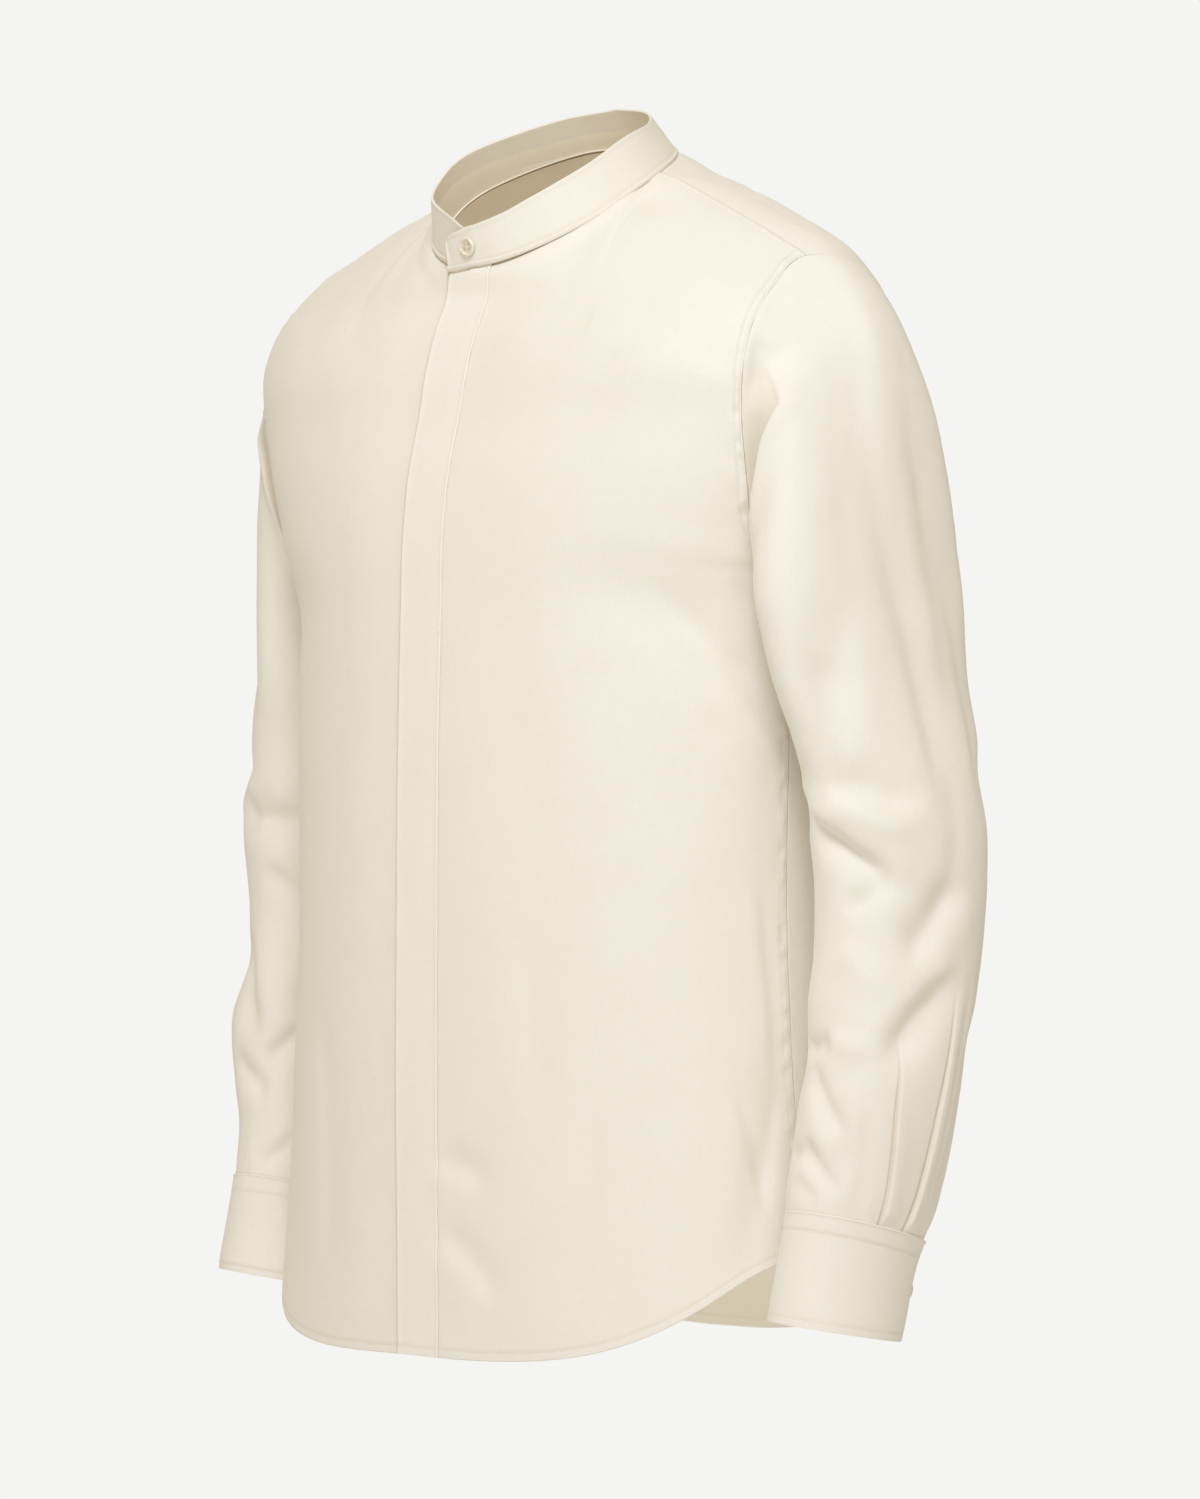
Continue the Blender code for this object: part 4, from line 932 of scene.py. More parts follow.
# The sleeves
# Each is cut in one piece and set into its armhole, where the body's seam allowance is felled over it. Two
# pleats take its width into the cuff, and a stitched strip closes the slit at the back of the wrist.

SLEEVE_SEAM = 0.0003
UPPER_ARM_UP = -0.275
CUFF_TOP_UP = {"left": -0.644, "right": -0.648}
CAP_FULLNESS = 1.10
CAP_TURN_IN = 0.35
CAP_TURN_OUT = 0.12
FOLD_ROUND = 0.30
PLEAT_RISE = 0.0022
PLEAT_BROAD = 0.019
PLEAT_STEEP = 0.0016
PLEAT_GROOVE = 0.0016
PLEAT_GROOVE_WIDTH = 0.0011
# Rings from the upper arm to the cuff's lower edge. slant is how much a ring's back drops for each metre
# of its depth.
SLEEVES = {
    "left": table(
        "height across forward half_width half_depth power slant",
        """
        -.706 .2535 -.0139 .0345 .0427 2 .23, -.644 .2545 .0028 .0365 .0453 2 .27,
        -.634 .2555 .0055 .039 .0471 2 .26, -.607 .259 .0104 .0415 .0496 2 .22,
        -.575 .2625 .0142 .043 .0509 2 .16, -.547 .265 .0192 .0435 .0505 2 .1,
        -.511 .263 .0266 .045 .0554 2 .04, -.469 .262 .0337 .0455 .0564 2 0,
        -.436 .2625 .0347 .046 .0579 2 0, -.407 .262 .0331 .046 .0605 2 0, -.38 .258 .033 .044 .062 2 0,
        -.35 .2525 .0312 .041 .0683 2 0, -.315 .245 .0272 .038 .076 2 0, -.275 .241 .022 .0355 .08 2.1 0
        """,
    ),
    "right": table(
        "height across forward half_width half_depth power slant",
        """
        -.702 .2555 -.013 .0345 .0427 2 .25, -.64 .2545 .003 .0365 .0453 2 .25,
        -.614 .257 .011 .04 .0478 2 .22, -.59 .262 .015 .042 .0502 2 .18,
        -.55 .266 .0172 .044 .051 2 .1, -.494 .26 .029 .044 .0545 2 .03,
        -.47 .262 .0342 .0455 .0564 2 0, -.41 .262 .0316 .046 .0595 2 0,
        -.365 .254 .0332 .042 .0635 2 0, -.315 .244 .0327 .037 .0712 2 0,
        -.275 .24 .0328 .0345 .074 2.1 0
        """,
    ),
}
# Broad folds, and then finer creases. A place is a round from 0 beside the body over 0.25 at the front,
# and a height.
SLEEVE_FOLDS = {
    "left": table(
        "around up to_around to_up width depth",
        """
        .345 -.105 .275 -.15 .013 -.0028, .38 -.11 .32 -.19 .012 .002, .47 -.14 .485 -.3 .017 -.0022,
        .52 -.11 .595 -.28 .015 -.003, .375 -.3 .3 -.355 .013 -.003, .31 -.345 .21 -.388 .013 -.0035,
        .52 -.32 .485 -.465 .016 -.0022, .31 -.368 .44 -.39 .013 -.0022, .24 -.386 .45 -.398 .013 .0028,
        .235 -.402 .38 -.428 .012 -.0045, .3 -.456 .425 -.434 .014 -.0022,
        .51 -.436 .405 -.484 .014 -.003, .51 -.498 .395 -.542 .014 -.0032,
        .26 -.545 .325 -.582 .013 -.0018, .235 -.598 .37 -.605 .012 -.0018,
        .64 -.36 .83 -.41 .014 -.0035, .86 -.43 .68 -.46 .014 -.0025, .65 -.21 .7 -.35 .016 -.0022,
        .64 -.52 .8 -.57 .014 -.0024
        """,
    ),
    "right": table(
        "around up to_around to_up width depth",
        """
        .345 -.11 .28 -.16 .013 -.0024, .48 -.15 .5 -.32 .017 -.0022, .56 -.12 .61 -.29 .015 -.0028,
        .34 -.402 .2 -.394 .013 -.0032, .22 -.392 .11 -.425 .013 -.0026,
        .345 -.48 .235 -.548 .013 -.0026, .215 -.57 .1 -.54 .013 -.002, .32 -.565 .19 -.586 .012 -.0022,
        .22 -.63 .11 -.612 .012 -.0018, .5 -.35 .48 -.47 .016 -.0022, .38 -.4 .52 -.43 .014 -.003,
        .52 -.47 .4 -.515 .014 -.003, .65 -.37 .84 -.415 .014 -.0034, .85 -.45 .67 -.475 .014 -.0024,
        .66 -.53 .79 -.58 .014 -.0022
        """,
    ),
}
SLEEVE_CREASES = {
    "left": table(
        "around up to_around to_up width depth bow lean",
        """
        .366 -.11 .3 -.142 .006 -.003 0 0, .468 -.112 .422 -.262 .013 -.0022 0 -.1,
        .412 -.256 .262 -.372 .012 -.0032 .06 -.35, .468 -.16 .49 -.392 .007 -.0022 .028 .25,
        .53 -.15 .56 -.34 .006 -.0014 .03 .3, .545 -.1 .668 -.315 .0085 .0024 .055 -.4,
        .59 -.24 .6 -.4 .007 -.0018 .02 .3, .24 -.374 .445 -.394 .0095 -.0036 0 .35,
        .185 -.396 .38 -.434 .0085 -.0056 -.02 -.35, .517 -.36 .455 -.472 .0065 -.001 .055 0,
        .475 -.37 .465 -.45 .01 .0006 0 0, .275 -.454 .39 -.432 .0078 -.0034 0 .2,
        .52 -.434 .405 -.482 .0098 -.0038 0 -.25, .26 -.472 .39 -.502 .0105 .0024 0 0,
        .535 -.488 .38 -.548 .01 -.0045 -.07 .3, .15 -.537 .262 -.531 .0055 -.0034 0 0,
        .25 -.529 .355 -.537 .0075 .002 0 0, .2 -.545 .34 -.59 .0072 -.0034 0 -.2,
        .15 -.6 .262 -.597 .006 -.0026 0 0, .21 -.588 .345 -.622 .0065 -.003 0 -.2,
        .205 -.612 .305 -.627 .005 -.0014 0 -.2, .37 -.56 .395 -.64 .005 -.001 0 .2,
        .57 -.48 .552 -.64 .0045 -.0016 .02 .2, .61 -.47 .59 -.64 .0055 -.0022 .02 .3,
        .715 -.372 .8 -.396 .008 -.0034 .04 .3, .73 -.394 .89 -.428 .008 -.004 .04 .3,
        .68 -.456 .83 -.438 .008 -.0032 0 -.3, .72 -.24 .765 -.35 .009 -.0022 .03 .3,
        .8 -.28 .92 -.36 .009 -.0026 .04 -.3, .89 -.384 1.03 -.404 .008 -.004 0 .3,
        .86 -.5 .73 -.532 .008 -.003 0 .2, .94 -.548 .8 -.588 .0075 -.0028 .03 .2,
        1.02 -.46 1.13 -.5 .008 -.0032 0 .3, 1.04 -.39 1.18 -.392 .008 -.0034 0 -.3,
        1 -.56 1.1 -.6 .007 -.0026 0 .2
        """,
    ),
    "right": table(
        "around up to_around to_up width depth bow lean",
        """
        .36 -.11 .3 -.142 .006 -.0026 0 0, .4 -.21 .29 -.35 .0095 -.003 .05 -.3,
        .48 -.15 .51 -.37 .008 -.0022 .03 .25, .55 -.11 .66 -.31 .0085 .0022 .05 -.4,
        .335 -.402 .125 -.408 .0105 -.004 .06 .3, .3 -.372 .42 -.394 .009 -.0034 0 .35,
        .34 -.484 .2 -.552 .0105 -.0038 .03 .3, .24 -.44 .12 -.462 .008 -.0028 0 .2,
        .2 -.566 .1 -.542 .007 -.0034 0 .2, .31 -.564 .19 -.586 .0085 -.0026 0 -.2,
        .205 -.63 .115 -.612 .006 -.0026 0 .2, .4 -.416 .53 -.4 .008 -.0036 0 .3,
        .52 -.44 .41 -.5 .008 -.0042 0 -.25, .53 -.5 .39 -.556 .008 -.0046 -.06 .3,
        .52 -.35 .48 -.47 .0045 -.0018 .05 -.3, .58 -.48 .56 -.635 .005 -.0018 .02 .2,
        .7 -.376 .8 -.404 .008 -.0036 .04 .3, .75 -.402 .91 -.434 .008 -.0038 .04 .3,
        .69 -.46 .84 -.446 .008 -.003 0 -.3, .725 -.25 .775 -.36 .009 -.0022 .03 .3,
        .82 -.3 .94 -.368 .009 -.0024 .04 -.3, .86 -.51 .72 -.545 .008 -.0028 0 .2,
        1 -.402 1.13 -.396 .008 -.0036 0 .3, 1.03 -.5 1.14 -.53 .0075 -.0028 0 .2,
        .9 -.58 1.01 -.606 .007 -.0024 0 .2
        """,
    ),
}
# The pleats: the round of each one's edge where it starts and at the cuff, and the height of its start.
PLEATS = table("start cuff up", ".416 .458 -.52, .54 .522 -.49")
# The fold that hangs before the armhole: the round of its edge, by height.
FRONT_FOLD = table("up round", "-.26 .13, -.235 .15, -.213 .19, -.192 .235, -.172 .27, -.148 .33")
FRONT_FOLD_RISE = 0.0032


def ring_point(side, round_, up):
    """A point of a sleeve's rings, as on the left: 0 is next to the body, 0.25 is its front."""
    rings = SLEEVES[side]
    read = {name: smooth(rings["height"], column, up) for name, column in rings.items()}
    angle = 2 * math.pi * np.asarray(round_, float)
    power = 2 / read["power"]
    x = -np.sign(np.cos(angle)) * np.abs(np.cos(angle)) ** power * read["half_width"]
    y = -np.sign(np.sin(angle)) * np.abs(np.sin(angle)) ** power * read["half_depth"]
    points = (read["across"] + x, read["forward"] + y, up - read["slant"] * y)
    return np.stack(np.broadcast_arrays(*points), -1)


def sleeve_rings(side, rounds, cap, rows_up):
    """A sleeve's worn form from its armhole to its cuff, as rings from top to bottom."""
    start = armhole_point(rounds) + [SLEEVE_SEAM, 0, 0]
    end = ring_point(side, rounds, UPPER_ARM_UP)
    reach = np.linalg.norm(end - start, axis=1)[:, None]
    droop = np.radians(88 - 48 * np.sin(math.pi * rounds) ** 3)[:, None]
    swing = np.sin(2 * math.pi * rounds)[:, None]
    turn_in = CAP_TURN_IN * np.maximum(swing, 0) + CAP_TURN_OUT * np.maximum(-swing, 0)
    leave = reach * CAP_FULLNESS * np.hstack([np.cos(droop), turn_in, -np.sin(droop)])
    arrive = reach * unit(ring_point(side, rounds, UPPER_ARM_UP - 0.01) - end)
    rings = [
        (1 + 2 * t) * (1 - t) ** 2 * start
        + t * (1 - t) ** 2 * leave
        + t * t * (3 - 2 * t) * end
        - t * t * (1 - t) * arrive
        for t in cap
    ]
    return np.stack(rings + [ring_point(side, rounds, up) for up in rows_up[1:]])


def pleated(rounds, cuff_up, up):
    """How far the pleats lift a sleeve, with a groove beside each one's edge, and where the grooves are."""
    lift, groove = np.zeros(up.shape), np.zeros(up.shape)
    for start, cuff, start_up in zip(PLEATS["start"], PLEATS["cuff"], PLEATS["up"]):
        down = np.clip((start_up - up) / (start_up - cuff_up), 0, 1)
        past = (start + (cuff - start) * down - rounds) * FOLD_ROUND
        shape = ease(past, -PLEAT_BROAD, 0) ** 2 * (1 - ease(past, 0, PLEAT_STEEP))
        lift += PLEAT_RISE * ease(down, 0, 0.8) * shape
        groove += ease(down, 0.02, 0.4) * band(past, PLEAT_STEEP, PLEAT_GROOVE_WIDTH)
    return lift - PLEAT_GROOVE * groove, groove


def front_fold(rounds, up):
    """How far the fold that hangs before the armhole lifts a sleeve, and where shade is painted in the recess
    beside the seam.
    """
    past = (np.interp(up, FRONT_FOLD["up"], FRONT_FOLD["round"]) - rounds) * FOLD_ROUND
    reach = ease(-up, 0.108, 0.172) * (1 - ease(-up, 0.215, 0.262))
    lift = FRONT_FOLD_RISE * ease(past, -0.020, 0.0) ** 2 * (1 - ease(past, 0.0, 0.0026)) * reach
    return lift, ease(past, 0.0002, 0.0018) * (1 - ease(past, 0.006, 0.034)) * reach


def ring_out(sheet):
    """The way out from a sheet of closed rings that run from top to bottom."""
    along = np.gradient(sheet, axis=0)
    around = np.roll(sheet, -1, axis=1) - np.roll(sheet, 1, axis=1)
    outward = unit(np.cross(along, around))
    middle = sheet.mean(axis=1, keepdims=True)
    return outward * np.sign(((sheet - middle) * outward).sum(-1).mean())


def closed(rows):
    """Rows of points with each one's first point again at its end."""
    return np.concatenate([rows, rows[:, :1]], axis=1)


ARMHOLE_MIDDLE = np.array([0.200, 0.005, -0.160])
STRIP_THICK = 0.0010
STRIP_LIFT = 0.0004
STRIP_LOW, STRIP_HIGH = 0.68, 0.775
STRIP_LENGTH = 9 / 26
strip_rounds = BACK_CORNER + (1 - BACK_CORNER) * np.arange(10) / 9
strip_rounds = strip_rounds[(strip_rounds > STRIP_LOW) & (strip_rounds < STRIP_HIGH)]
strip_at = np.linspace(strip_rounds[0], strip_rounds[-1], 12)
sleeve_cotton = cotton("sleeve_cotton")
SLEEVE_STEP = 0.0026
SEAM_DROP = 0.0002
WAVES, RIPPLES, GATHERS = 0.0007, 0.0002, 0.0007
# How much painted shade lies in the pleats' grooves and in the recess before the armhole's front fold.
GROOVE_SHADE, FOLD_SHADE = 0.8, 1.25
ROUND_STEP_LEAST = 0.0010
# Where the turns of the sheet's columns lie, closer at the folds and finest at the pleats.
stretches = (
    (0, 0.130, 0.0090), (0.130, 0.345, 0.0045), (0.345, 0.408, 0.0090), (0.408, 0.464, 0.0019),
    (0.464, 0.514, 0.0045), (0.514, 0.546, 0.0019), (0.546, 0.9995, 0.0092),
)
rounds = np.concatenate([np.arange(*stretch) for stretch in stretches])
rounds = rounds[np.append(True, np.diff(rounds) > ROUND_STEP_LEAST)]
cap = divided(0.175, SLEEVE_STEP, (0, 0.0007, 0.0015, 0.0025, 0.0040), ())
for side in SLEEVES:
    length = UPPER_ARM_UP - CUFF_TOP_UP[side]
    rows_up = UPPER_ARM_UP - length * divided(length, SLEEVE_STEP, (), (0, 0.0010, 0.0022, 0.0036))
    rings = sleeve_rings(side, rounds, cap, rows_up)
    outward = ring_out(rings)
    up = rings[..., 2]
    far = from_edges(rings)
    seed = {"left": 41, "right": 53}[side]
    sewn_in = ease(far["bottom"], 0.0, 0.012)
    lift = lift_of(SLEEVE_FOLDS[side], FOLD_ROUND, rounds + 0 * up, up)
    for turn in (-1, 0, 1):
        lift += creased(SLEEVE_CREASES[side], FOLD_ROUND, rounds + turn + 0 * up, up)
    lift += WAVES * uneven(rings, (0.030, 0.030, 0.060), seed)
    lift += RIPPLES * uneven(rings, (0.011, 0.011, 0.024), seed + 5)
    pleats, groove = pleated(rounds, rows_up[-1], up)
    folded, shade = front_fold(rounds, up)
    lift = lift * sewn_in + pleats + folded * ease(far["bottom"], 0.0, 0.004)
    lift -= SEAM_DROP * (1 - ease(far["bottom"], 0.0, 0.0035))
    lift += sewn(far["bottom"], rings, seed + 2, 0.0, 0.0, (), 0.0003)
    gathers = uneven(rings, (0.0065, 0.0065, 0.050), seed + 3)
    lift += GATHERS * gathers * (1 - ease(far["top"], 0.0, 0.030))
    into_cuff = ease(far["top"], 0.0, 0.0070)
    lift = lift * into_cuff + np.minimum(lift, 0.0004) * (1 - into_cuff)
    sheet = rings + outward * lift[..., None]
    # Seam allowances that go in under the armhole's felled edge and under the cuff.
    under = sheet[0] - [0.0020, 0, 0] + unit(ARMHOLE_MIDDLE - sheet[0]) * 0.0012
    inside = sheet[-1] - outward[-1] * 0.0022 - [0, 0, 0.0040]
    sheet = np.concatenate([[under], sheet, [inside]])
    outward = np.concatenate([outward[:1], outward, outward[-1:]])
    # Painted shade in the pleats' grooves and in the recess between the front fold and the armhole seam.
    shaded = GROOVE_SHADE * groove + FOLD_SHADE * shade
    pressed_and_shaded = closed(np.concatenate([shaded[:1], shaded, shaded[-1:]]))
    # The strip lies on the sleeve's own surface.
    strip_share = STRIP_LENGTH * divided(0.128, SLEEVE_STEP, (0, 0.001), (0, 0.001))
    strip_up = rows_up[-1] + (UPPER_ARM_UP - rows_up[-1]) * strip_share
    strip_rows = sorted({len(cap) + np.abs(rows_up - place).argmin() for place in strip_up})
    strip_grid = np.ix_(strip_rows, sorted({np.abs(rounds - at).argmin() for at in strip_at}))
    strip, strip_out = sheet[strip_grid], outward[strip_grid]
    if side == "right":
        sheet, outward, strip, strip_out = (mirrored(a) for a in (sheet, outward, strip, strip_out))
    node = "sleeve_" + side
    sleeve = cloth(node + "_panel", closed(sheet), closed(outward), sleeve_cotton, pressed_and_shaded=pressed_and_shaded, ring=True)
    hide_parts(node)
    strip = pulled_in(strip + strip_out * (STRIP_LIFT + STRIP_THICK))
    strip_node = "sleeve_placket_" + side
    strip_piece = cloth(strip_node + "_strip", strip, strip_out, sleeve_cotton, STRIP_THICK, rounded=0.0003)
    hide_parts(strip_node)
    stitches(
        strip_node + "_stitches",
        *[along_edge(strip, edge, 0.0014, 0.02, 0.98) for edge in ("left", "right", "bottom", "top")],
    )


# The cuffs
# Each is a doubled band with something stiff between its layers. Its outer end laps over the inner one at
# the back of the wrist, its corners are rounded, and it is stitched all round.

CUFF_END_UP = {"left": -0.706, "right": -0.707}
CUFF_STARTS = 0.66
CUFF_ENDS = 1.76
CUFF_PROUD = 0.0010
CUFF_LAP = 0.0013
CUFF_CORNER = 0.014
CUFF_CORNER_DROP = 0.24
CUFF_BUTTON_ROUND = 0.713
BAND_THICK = 0.0021
CUFF_TILT = 0.095
TILT_WAY = (0.731, 0.682)
TILT_RISE = 0.0010
CUFF_ROUND = 0.26
CUFF_ROLL = 0.0004
CUFF_TOP_ROWS = (0.0012, 0.0110)
CUFF_LOW_ROW = 0.0048


def rounded_end(from_end, corner, drop):
    """How much of a band's height is left near its end, where the corner is rounded off."""
    short = np.clip(1 - from_end / corner, 0, 1)
    return 1 - drop * (1 - np.sqrt(1 - short**2))


def wrist_middle(side):
    return ring_point(side, np.linspace(0, 1, 24, endpoint=False), CUFF_TOP_UP[side]).mean(axis=0)


def tilted(points, side, share):
    """Points of a cuff with its lower end tilted, so that its inner back hangs a little higher."""
    across, back = TILT_WAY
    way = np.array([-across if side == "left" else across, back, 0])
    raised = CUFF_TILT * ((points - wrist_middle(side)) @ way) + TILT_RISE
    return points + (share * raised)[..., None] * [0, 0, 1]


band_cotton = cotton("band_cotton", turned=True)
for side in SLEEVES:
    around = divided(0.290, 0.0018, (0, 0.0008), (0, 0.0008))
    cuff_rounds = CUFF_STARTS + (CUFF_ENDS - CUFF_STARTS) * around
    lap = CUFF_ENDS - 1 - CUFF_STARTS
    proud = CUFF_PROUD - CUFF_LAP * (1 - ease(cuff_rounds, CUFF_STARTS + lap, CUFF_STARTS + 2 * lap))
    proud += CUFF_LAP * ease(cuff_rounds, CUFF_ENDS - 2 * lap, CUFF_ENDS - lap)
    from_end = np.minimum(cuff_rounds - CUFF_STARTS, CUFF_ENDS - cuff_rounds) * CUFF_ROUND
    drop = (CUFF_END_UP[side] - CUFF_TOP_UP[side]) * rounded_end(from_end, CUFF_CORNER, CUFF_CORNER_DROP)
    down = divided(0.062, 0.0019, (0, 0.0006, 0.0012, 0.0018, 0.0026), (0, 0.0006, 0.0012))
    sheet = ring_point(side, cuff_rounds, CUFF_TOP_UP[side] + down[:, None] * drop)
    sheet = tilted(sheet, side, down[:, None])
    outward = unit((sheet - sheet.mean(axis=1, keepdims=True)) * [1, 1, 0])
    far = from_edges(sheet)
    seed = {"left": 61, "right": 67}[side]
    lift = sewn(far["bottom"], sheet, seed, 0.0, 0.0, CUFF_TOP_ROWS[1:], 0.00018)
    lift += CUFF_ROLL * band(far["bottom"], 0.0008, 0.0008)
    lift += sewn(far["top"], sheet, seed, 0.0, 0.0, (CUFF_LOW_ROW,), 0.00012)
    lift += 0.0004 * uneven(sheet, (0.030, 0.030, 0.040), seed)
    sheet = sheet + outward * (proud + lift)[..., None]
    # A deeper tone along two stitch rows, partly pressed cloth and partly painted shade in their grooves.
    pressed_and_shaded = 0.5 * band(far["top"], CUFF_LOW_ROW, 0.0008)
    pressed_and_shaded += 0.6 * band(far["bottom"], CUFF_TOP_ROWS[1], 0.0007)
    if side == "right":
        sheet, outward = mirrored(sheet), mirrored(outward)
    cuff = cloth("cuff_" + side + "_band", sheet, outward, band_cotton, BAND_THICK, pressed_and_shaded, rounded=0.0006)
    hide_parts("cuff_" + side)
    stitches(
        "cuff_" + side + "_stitches",
        *[along_edge(sheet, "bottom", row) for row in CUFF_TOP_ROWS],
        along_edge(sheet, "top", CUFF_LOW_ROW),
        along_edge(sheet, "right", CUFF_LOW_ROW, 0.2, 0.9),
    )


# The collar
# A doubled standing band with something stiff between its layers. Its left end laps over its right one at
# the front, its upper corners are rounded, and its lower edge is stitched down on the neckline.

COLLAR_PROUD = 0.0011
COLLAR_LAP = 0.0013
COLLAR_THICK = 0.0016
COLLAR_CORNER = 0.008
COLLAR_CORNER_DROP = 0.30
COLLAR_BUTTON_TURN = 2.5
COLLAR_LIP = 0.0019
COLLAR_LOW_ROW = COLLAR_LIP + 0.0006
COLLAR_TOP_ROW = 0.0026
COLLAR_ROLL = 0.0007
COLLAR_REACH_DOWN = 0.0012
INNER_THICK = 0.0008


def collar_waves(sheet):
    return 0.0003 * uneven(sheet, 0.030, 73)


end = np.degrees(np.arcsin(PLACKET_HALF / NECK_HALF_WIDTH))
turns = -end + (360 + 2 * end) * divided(0.500, 0.0019, (0, 0.0007, 0.0015), (0, 0.0007, 0.0015))
lap = COLLAR_LAP * (1 - ease(turns, end + 3, 45)) - COLLAR_LAP * ease(turns, 315, 360 - end - 3)
from_end = np.minimum(turns + end, 360 + end - turns) * math.pi / 180 * NECK_HALF_DEPTH
lifts = divided(0.026, 0.0015, (0, 0.0005, 0.0010, 0.0015, 0.0020, 0.0026), (0, 0.0005, 0.0011, 0.0018))
sheet = neck_point(turns[None], lifts[:, None] * rounded_end(from_end, COLLAR_CORNER, COLLAR_CORNER_DROP))
outward = unit((sheet - [0, NECK_MIDDLE, 0]) * [1, 1, 0])
far = from_edges(sheet)
lift = sewn(far["bottom"], sheet, 71, COLLAR_LIP, 0.0003, (COLLAR_LIP + 0.0007,), 0.00012)
lift += COLLAR_ROLL * band(far["bottom"], 0.0009, 0.0008)
lift += sewn(far["left"], sheet, 74, COLLAR_LIP, 0.0008, (COLLAR_LIP + 0.0007,), 0.00010)
lift += sewn(far["top"], sheet, 72, 0.0, 0.0, (COLLAR_TOP_ROW,), 0.00010)
lift += collar_waves(sheet)
sheet = sheet + outward * (COLLAR_PROUD + lap + lift)[..., None]
sheet[0] -= [0, 0, COLLAR_REACH_DOWN]
# A deeper tone along the stitch rows, partly pressed cloth and partly painted shade; a painted shadow along
# the band's bottom edge; painted shade on its right end, under the lapped left end.
pressed_and_shaded = 0.6 * band(far["bottom"], COLLAR_LOW_ROW, 0.0007)
pressed_and_shaded += 0.9 * (1 - ease(far["bottom"], 0.0, 0.0004)) + 0.4 * ease(turns, 318, 346)
pressed_and_shaded += 0.4 * band(far["top"], COLLAR_TOP_ROW, 0.0007)
# The band's inner faces: the same poplin painted deeper and warmer as shade, with a faint warm painted glow.
lined_shade_and_glow = cotton("doubled_inside_cotton", (0.87, 0.82, 0.72), painted_glow=0.025)
collar = cloth(
    "stand_collar", sheet, outward, band_cotton, COLLAR_THICK, pressed_and_shaded, rounded=0.0005, inner=lined_shade_and_glow
)
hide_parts("collar")
# Inside, the band's lining and its folded edge hang a little below the seam, lowest at the shoulders. Each
# row says how far it is above that edge, how far in from the band and how deep its painted shade is; the
# deepest is a painted shadow under the folded edge.
from_back = np.abs(turns - 180)
low_edge = -0.05 - 0.20 * ease(from_back, 20, 70) + 0.09 * ease(from_back, 100, 150)
low_edge += 0.12 * ease(from_back, 132, 166)
INNER_TOP = 0.62
INNER_ROWS = {
    "collar_inner_layer": table("rise inward deep", "0 .0018 .3, .03 .0017 .2, .25 .0012 0, 1 -.0002 0"),
    "collar_inner_edge": table(
        "rise inward deep", "-.052 .0019 1.8, -.012 .0026 1.8, -.004 .0028 .1, .02 .0028 0, .032 .002 .3"
    ),
}
GAP_SHADE = (0.14, 0.07, 0.01)
# The lining: the same poplin painted deeper as shade. The folded edge: painted lighter, with a painted glow,
# as a highlight.
inner_shade_and_highlight = {
    "collar_inner_layer": cotton("collar_layer_painted_shade", (0.80, 0.735, 0.59), painted_glow=0.025),
    "collar_inner_edge": cotton("collar_edge_painted_highlight", (1.0, 0.96, 0.87), GAP_SHADE, painted_glow=0.10),
}
for name, rows in INNER_ROWS.items():
    rise, inward, painted_shade_tone = (column[:, None] for column in rows.values())
    inner = neck_point(turns[None], np.where(rise < 1, low_edge + rise, INNER_TOP))
    lay = COLLAR_PROUD + lap - COLLAR_THICK - inward + collar_waves(inner)
    inner += outward[:1] * lay[..., None]
    piece = cloth(
        name, inner, -outward[: len(inner)], inner_shade_and_highlight[name], INNER_THICK, painted_shade_tone,
        rounded=0.0003, inner=inner_shade_and_highlight[name],
    )
stitches(
    "collar_stitches",
    along_edge(sheet, "bottom", COLLAR_LOW_ROW),
    along_edge(sheet, "top", COLLAR_TOP_ROW),
    pitch=0.0026,
)


# The buttons
# Small four-hole buttons with a raised rim, pale as horn, one on the collar and one on each cuff, each sewn
# on with two bars of thread.

BUTTON_RADIUS = 0.0061
BUTTON_THICK = 0.0024
BUTTON_GAP = 0.0003
HOLE_AT, HOLE_RADIUS = 0.21, 0.105
RIM_CREASE = math.radians(38)
BAR = Matrix.Diagonal((0.30, 0.030, 0.10, 1))
horn, tree, surface = material("pale_horn")
place = tree.nodes.new("ShaderNodeTexCoord").outputs["Object"]
cloudy = speckle(tree, place, 260.0, 4.0, (1, 1, 2.5))
cloudy = ramp(tree, cloudy, (0.3, (0.76, 0.70, 0.57)), (0.7, (0.88, 0.84, 0.73)))
turned_at = tree.nodes.new("ShaderNodeAttribute")
turned_at.attribute_name = "from_middle"
# Tones of the dished middle, the step up to the rim and the rim's rounded top, from the middle out; the dark
# step is painted shade where the rim rises.
turned_tones = (
    (0, (1, 0.97, 0.94)), (0.60, (0.84, 0.80, 0.70)), (0.72, (1, 1, 1)), (0.88, (1, 1, 0.98)), (1, (1, 1, 1)),
)
horn_and_step_shade = tree.nodes.new("ShaderNodeMix")
horn_and_step_shade.data_type, horn_and_step_shade.blend_type = "RGBA", "MULTIPLY"
settings(horn_and_step_shade, Factor=1.0)
tree.links.new(cloudy, horn_and_step_shade.inputs["A"])
tree.links.new(ramp(tree, turned_at.outputs["Fac"], *turned_tones), horn_and_step_shade.inputs["B"])
tree.links.new(horn_and_step_shade.outputs["Result"], surface.inputs["Base Color"])
scuffs = maths(tree, "ADD", maths(tree, "MULTIPLY", speckle(tree, place, 1500.0, 3.0), 0.25), 0.18)
tree.links.new(scuffs, surface.inputs["Roughness"])
settings(surface, Coat_Weight=0.3, Coat_Roughness=0.15)


def facing_of(around, upward, away):
    """Which way a band faces, from two directions along it and one roughly away from it."""
    across = unit(np.cross(around, upward))
    return across * np.sign(across @ away)


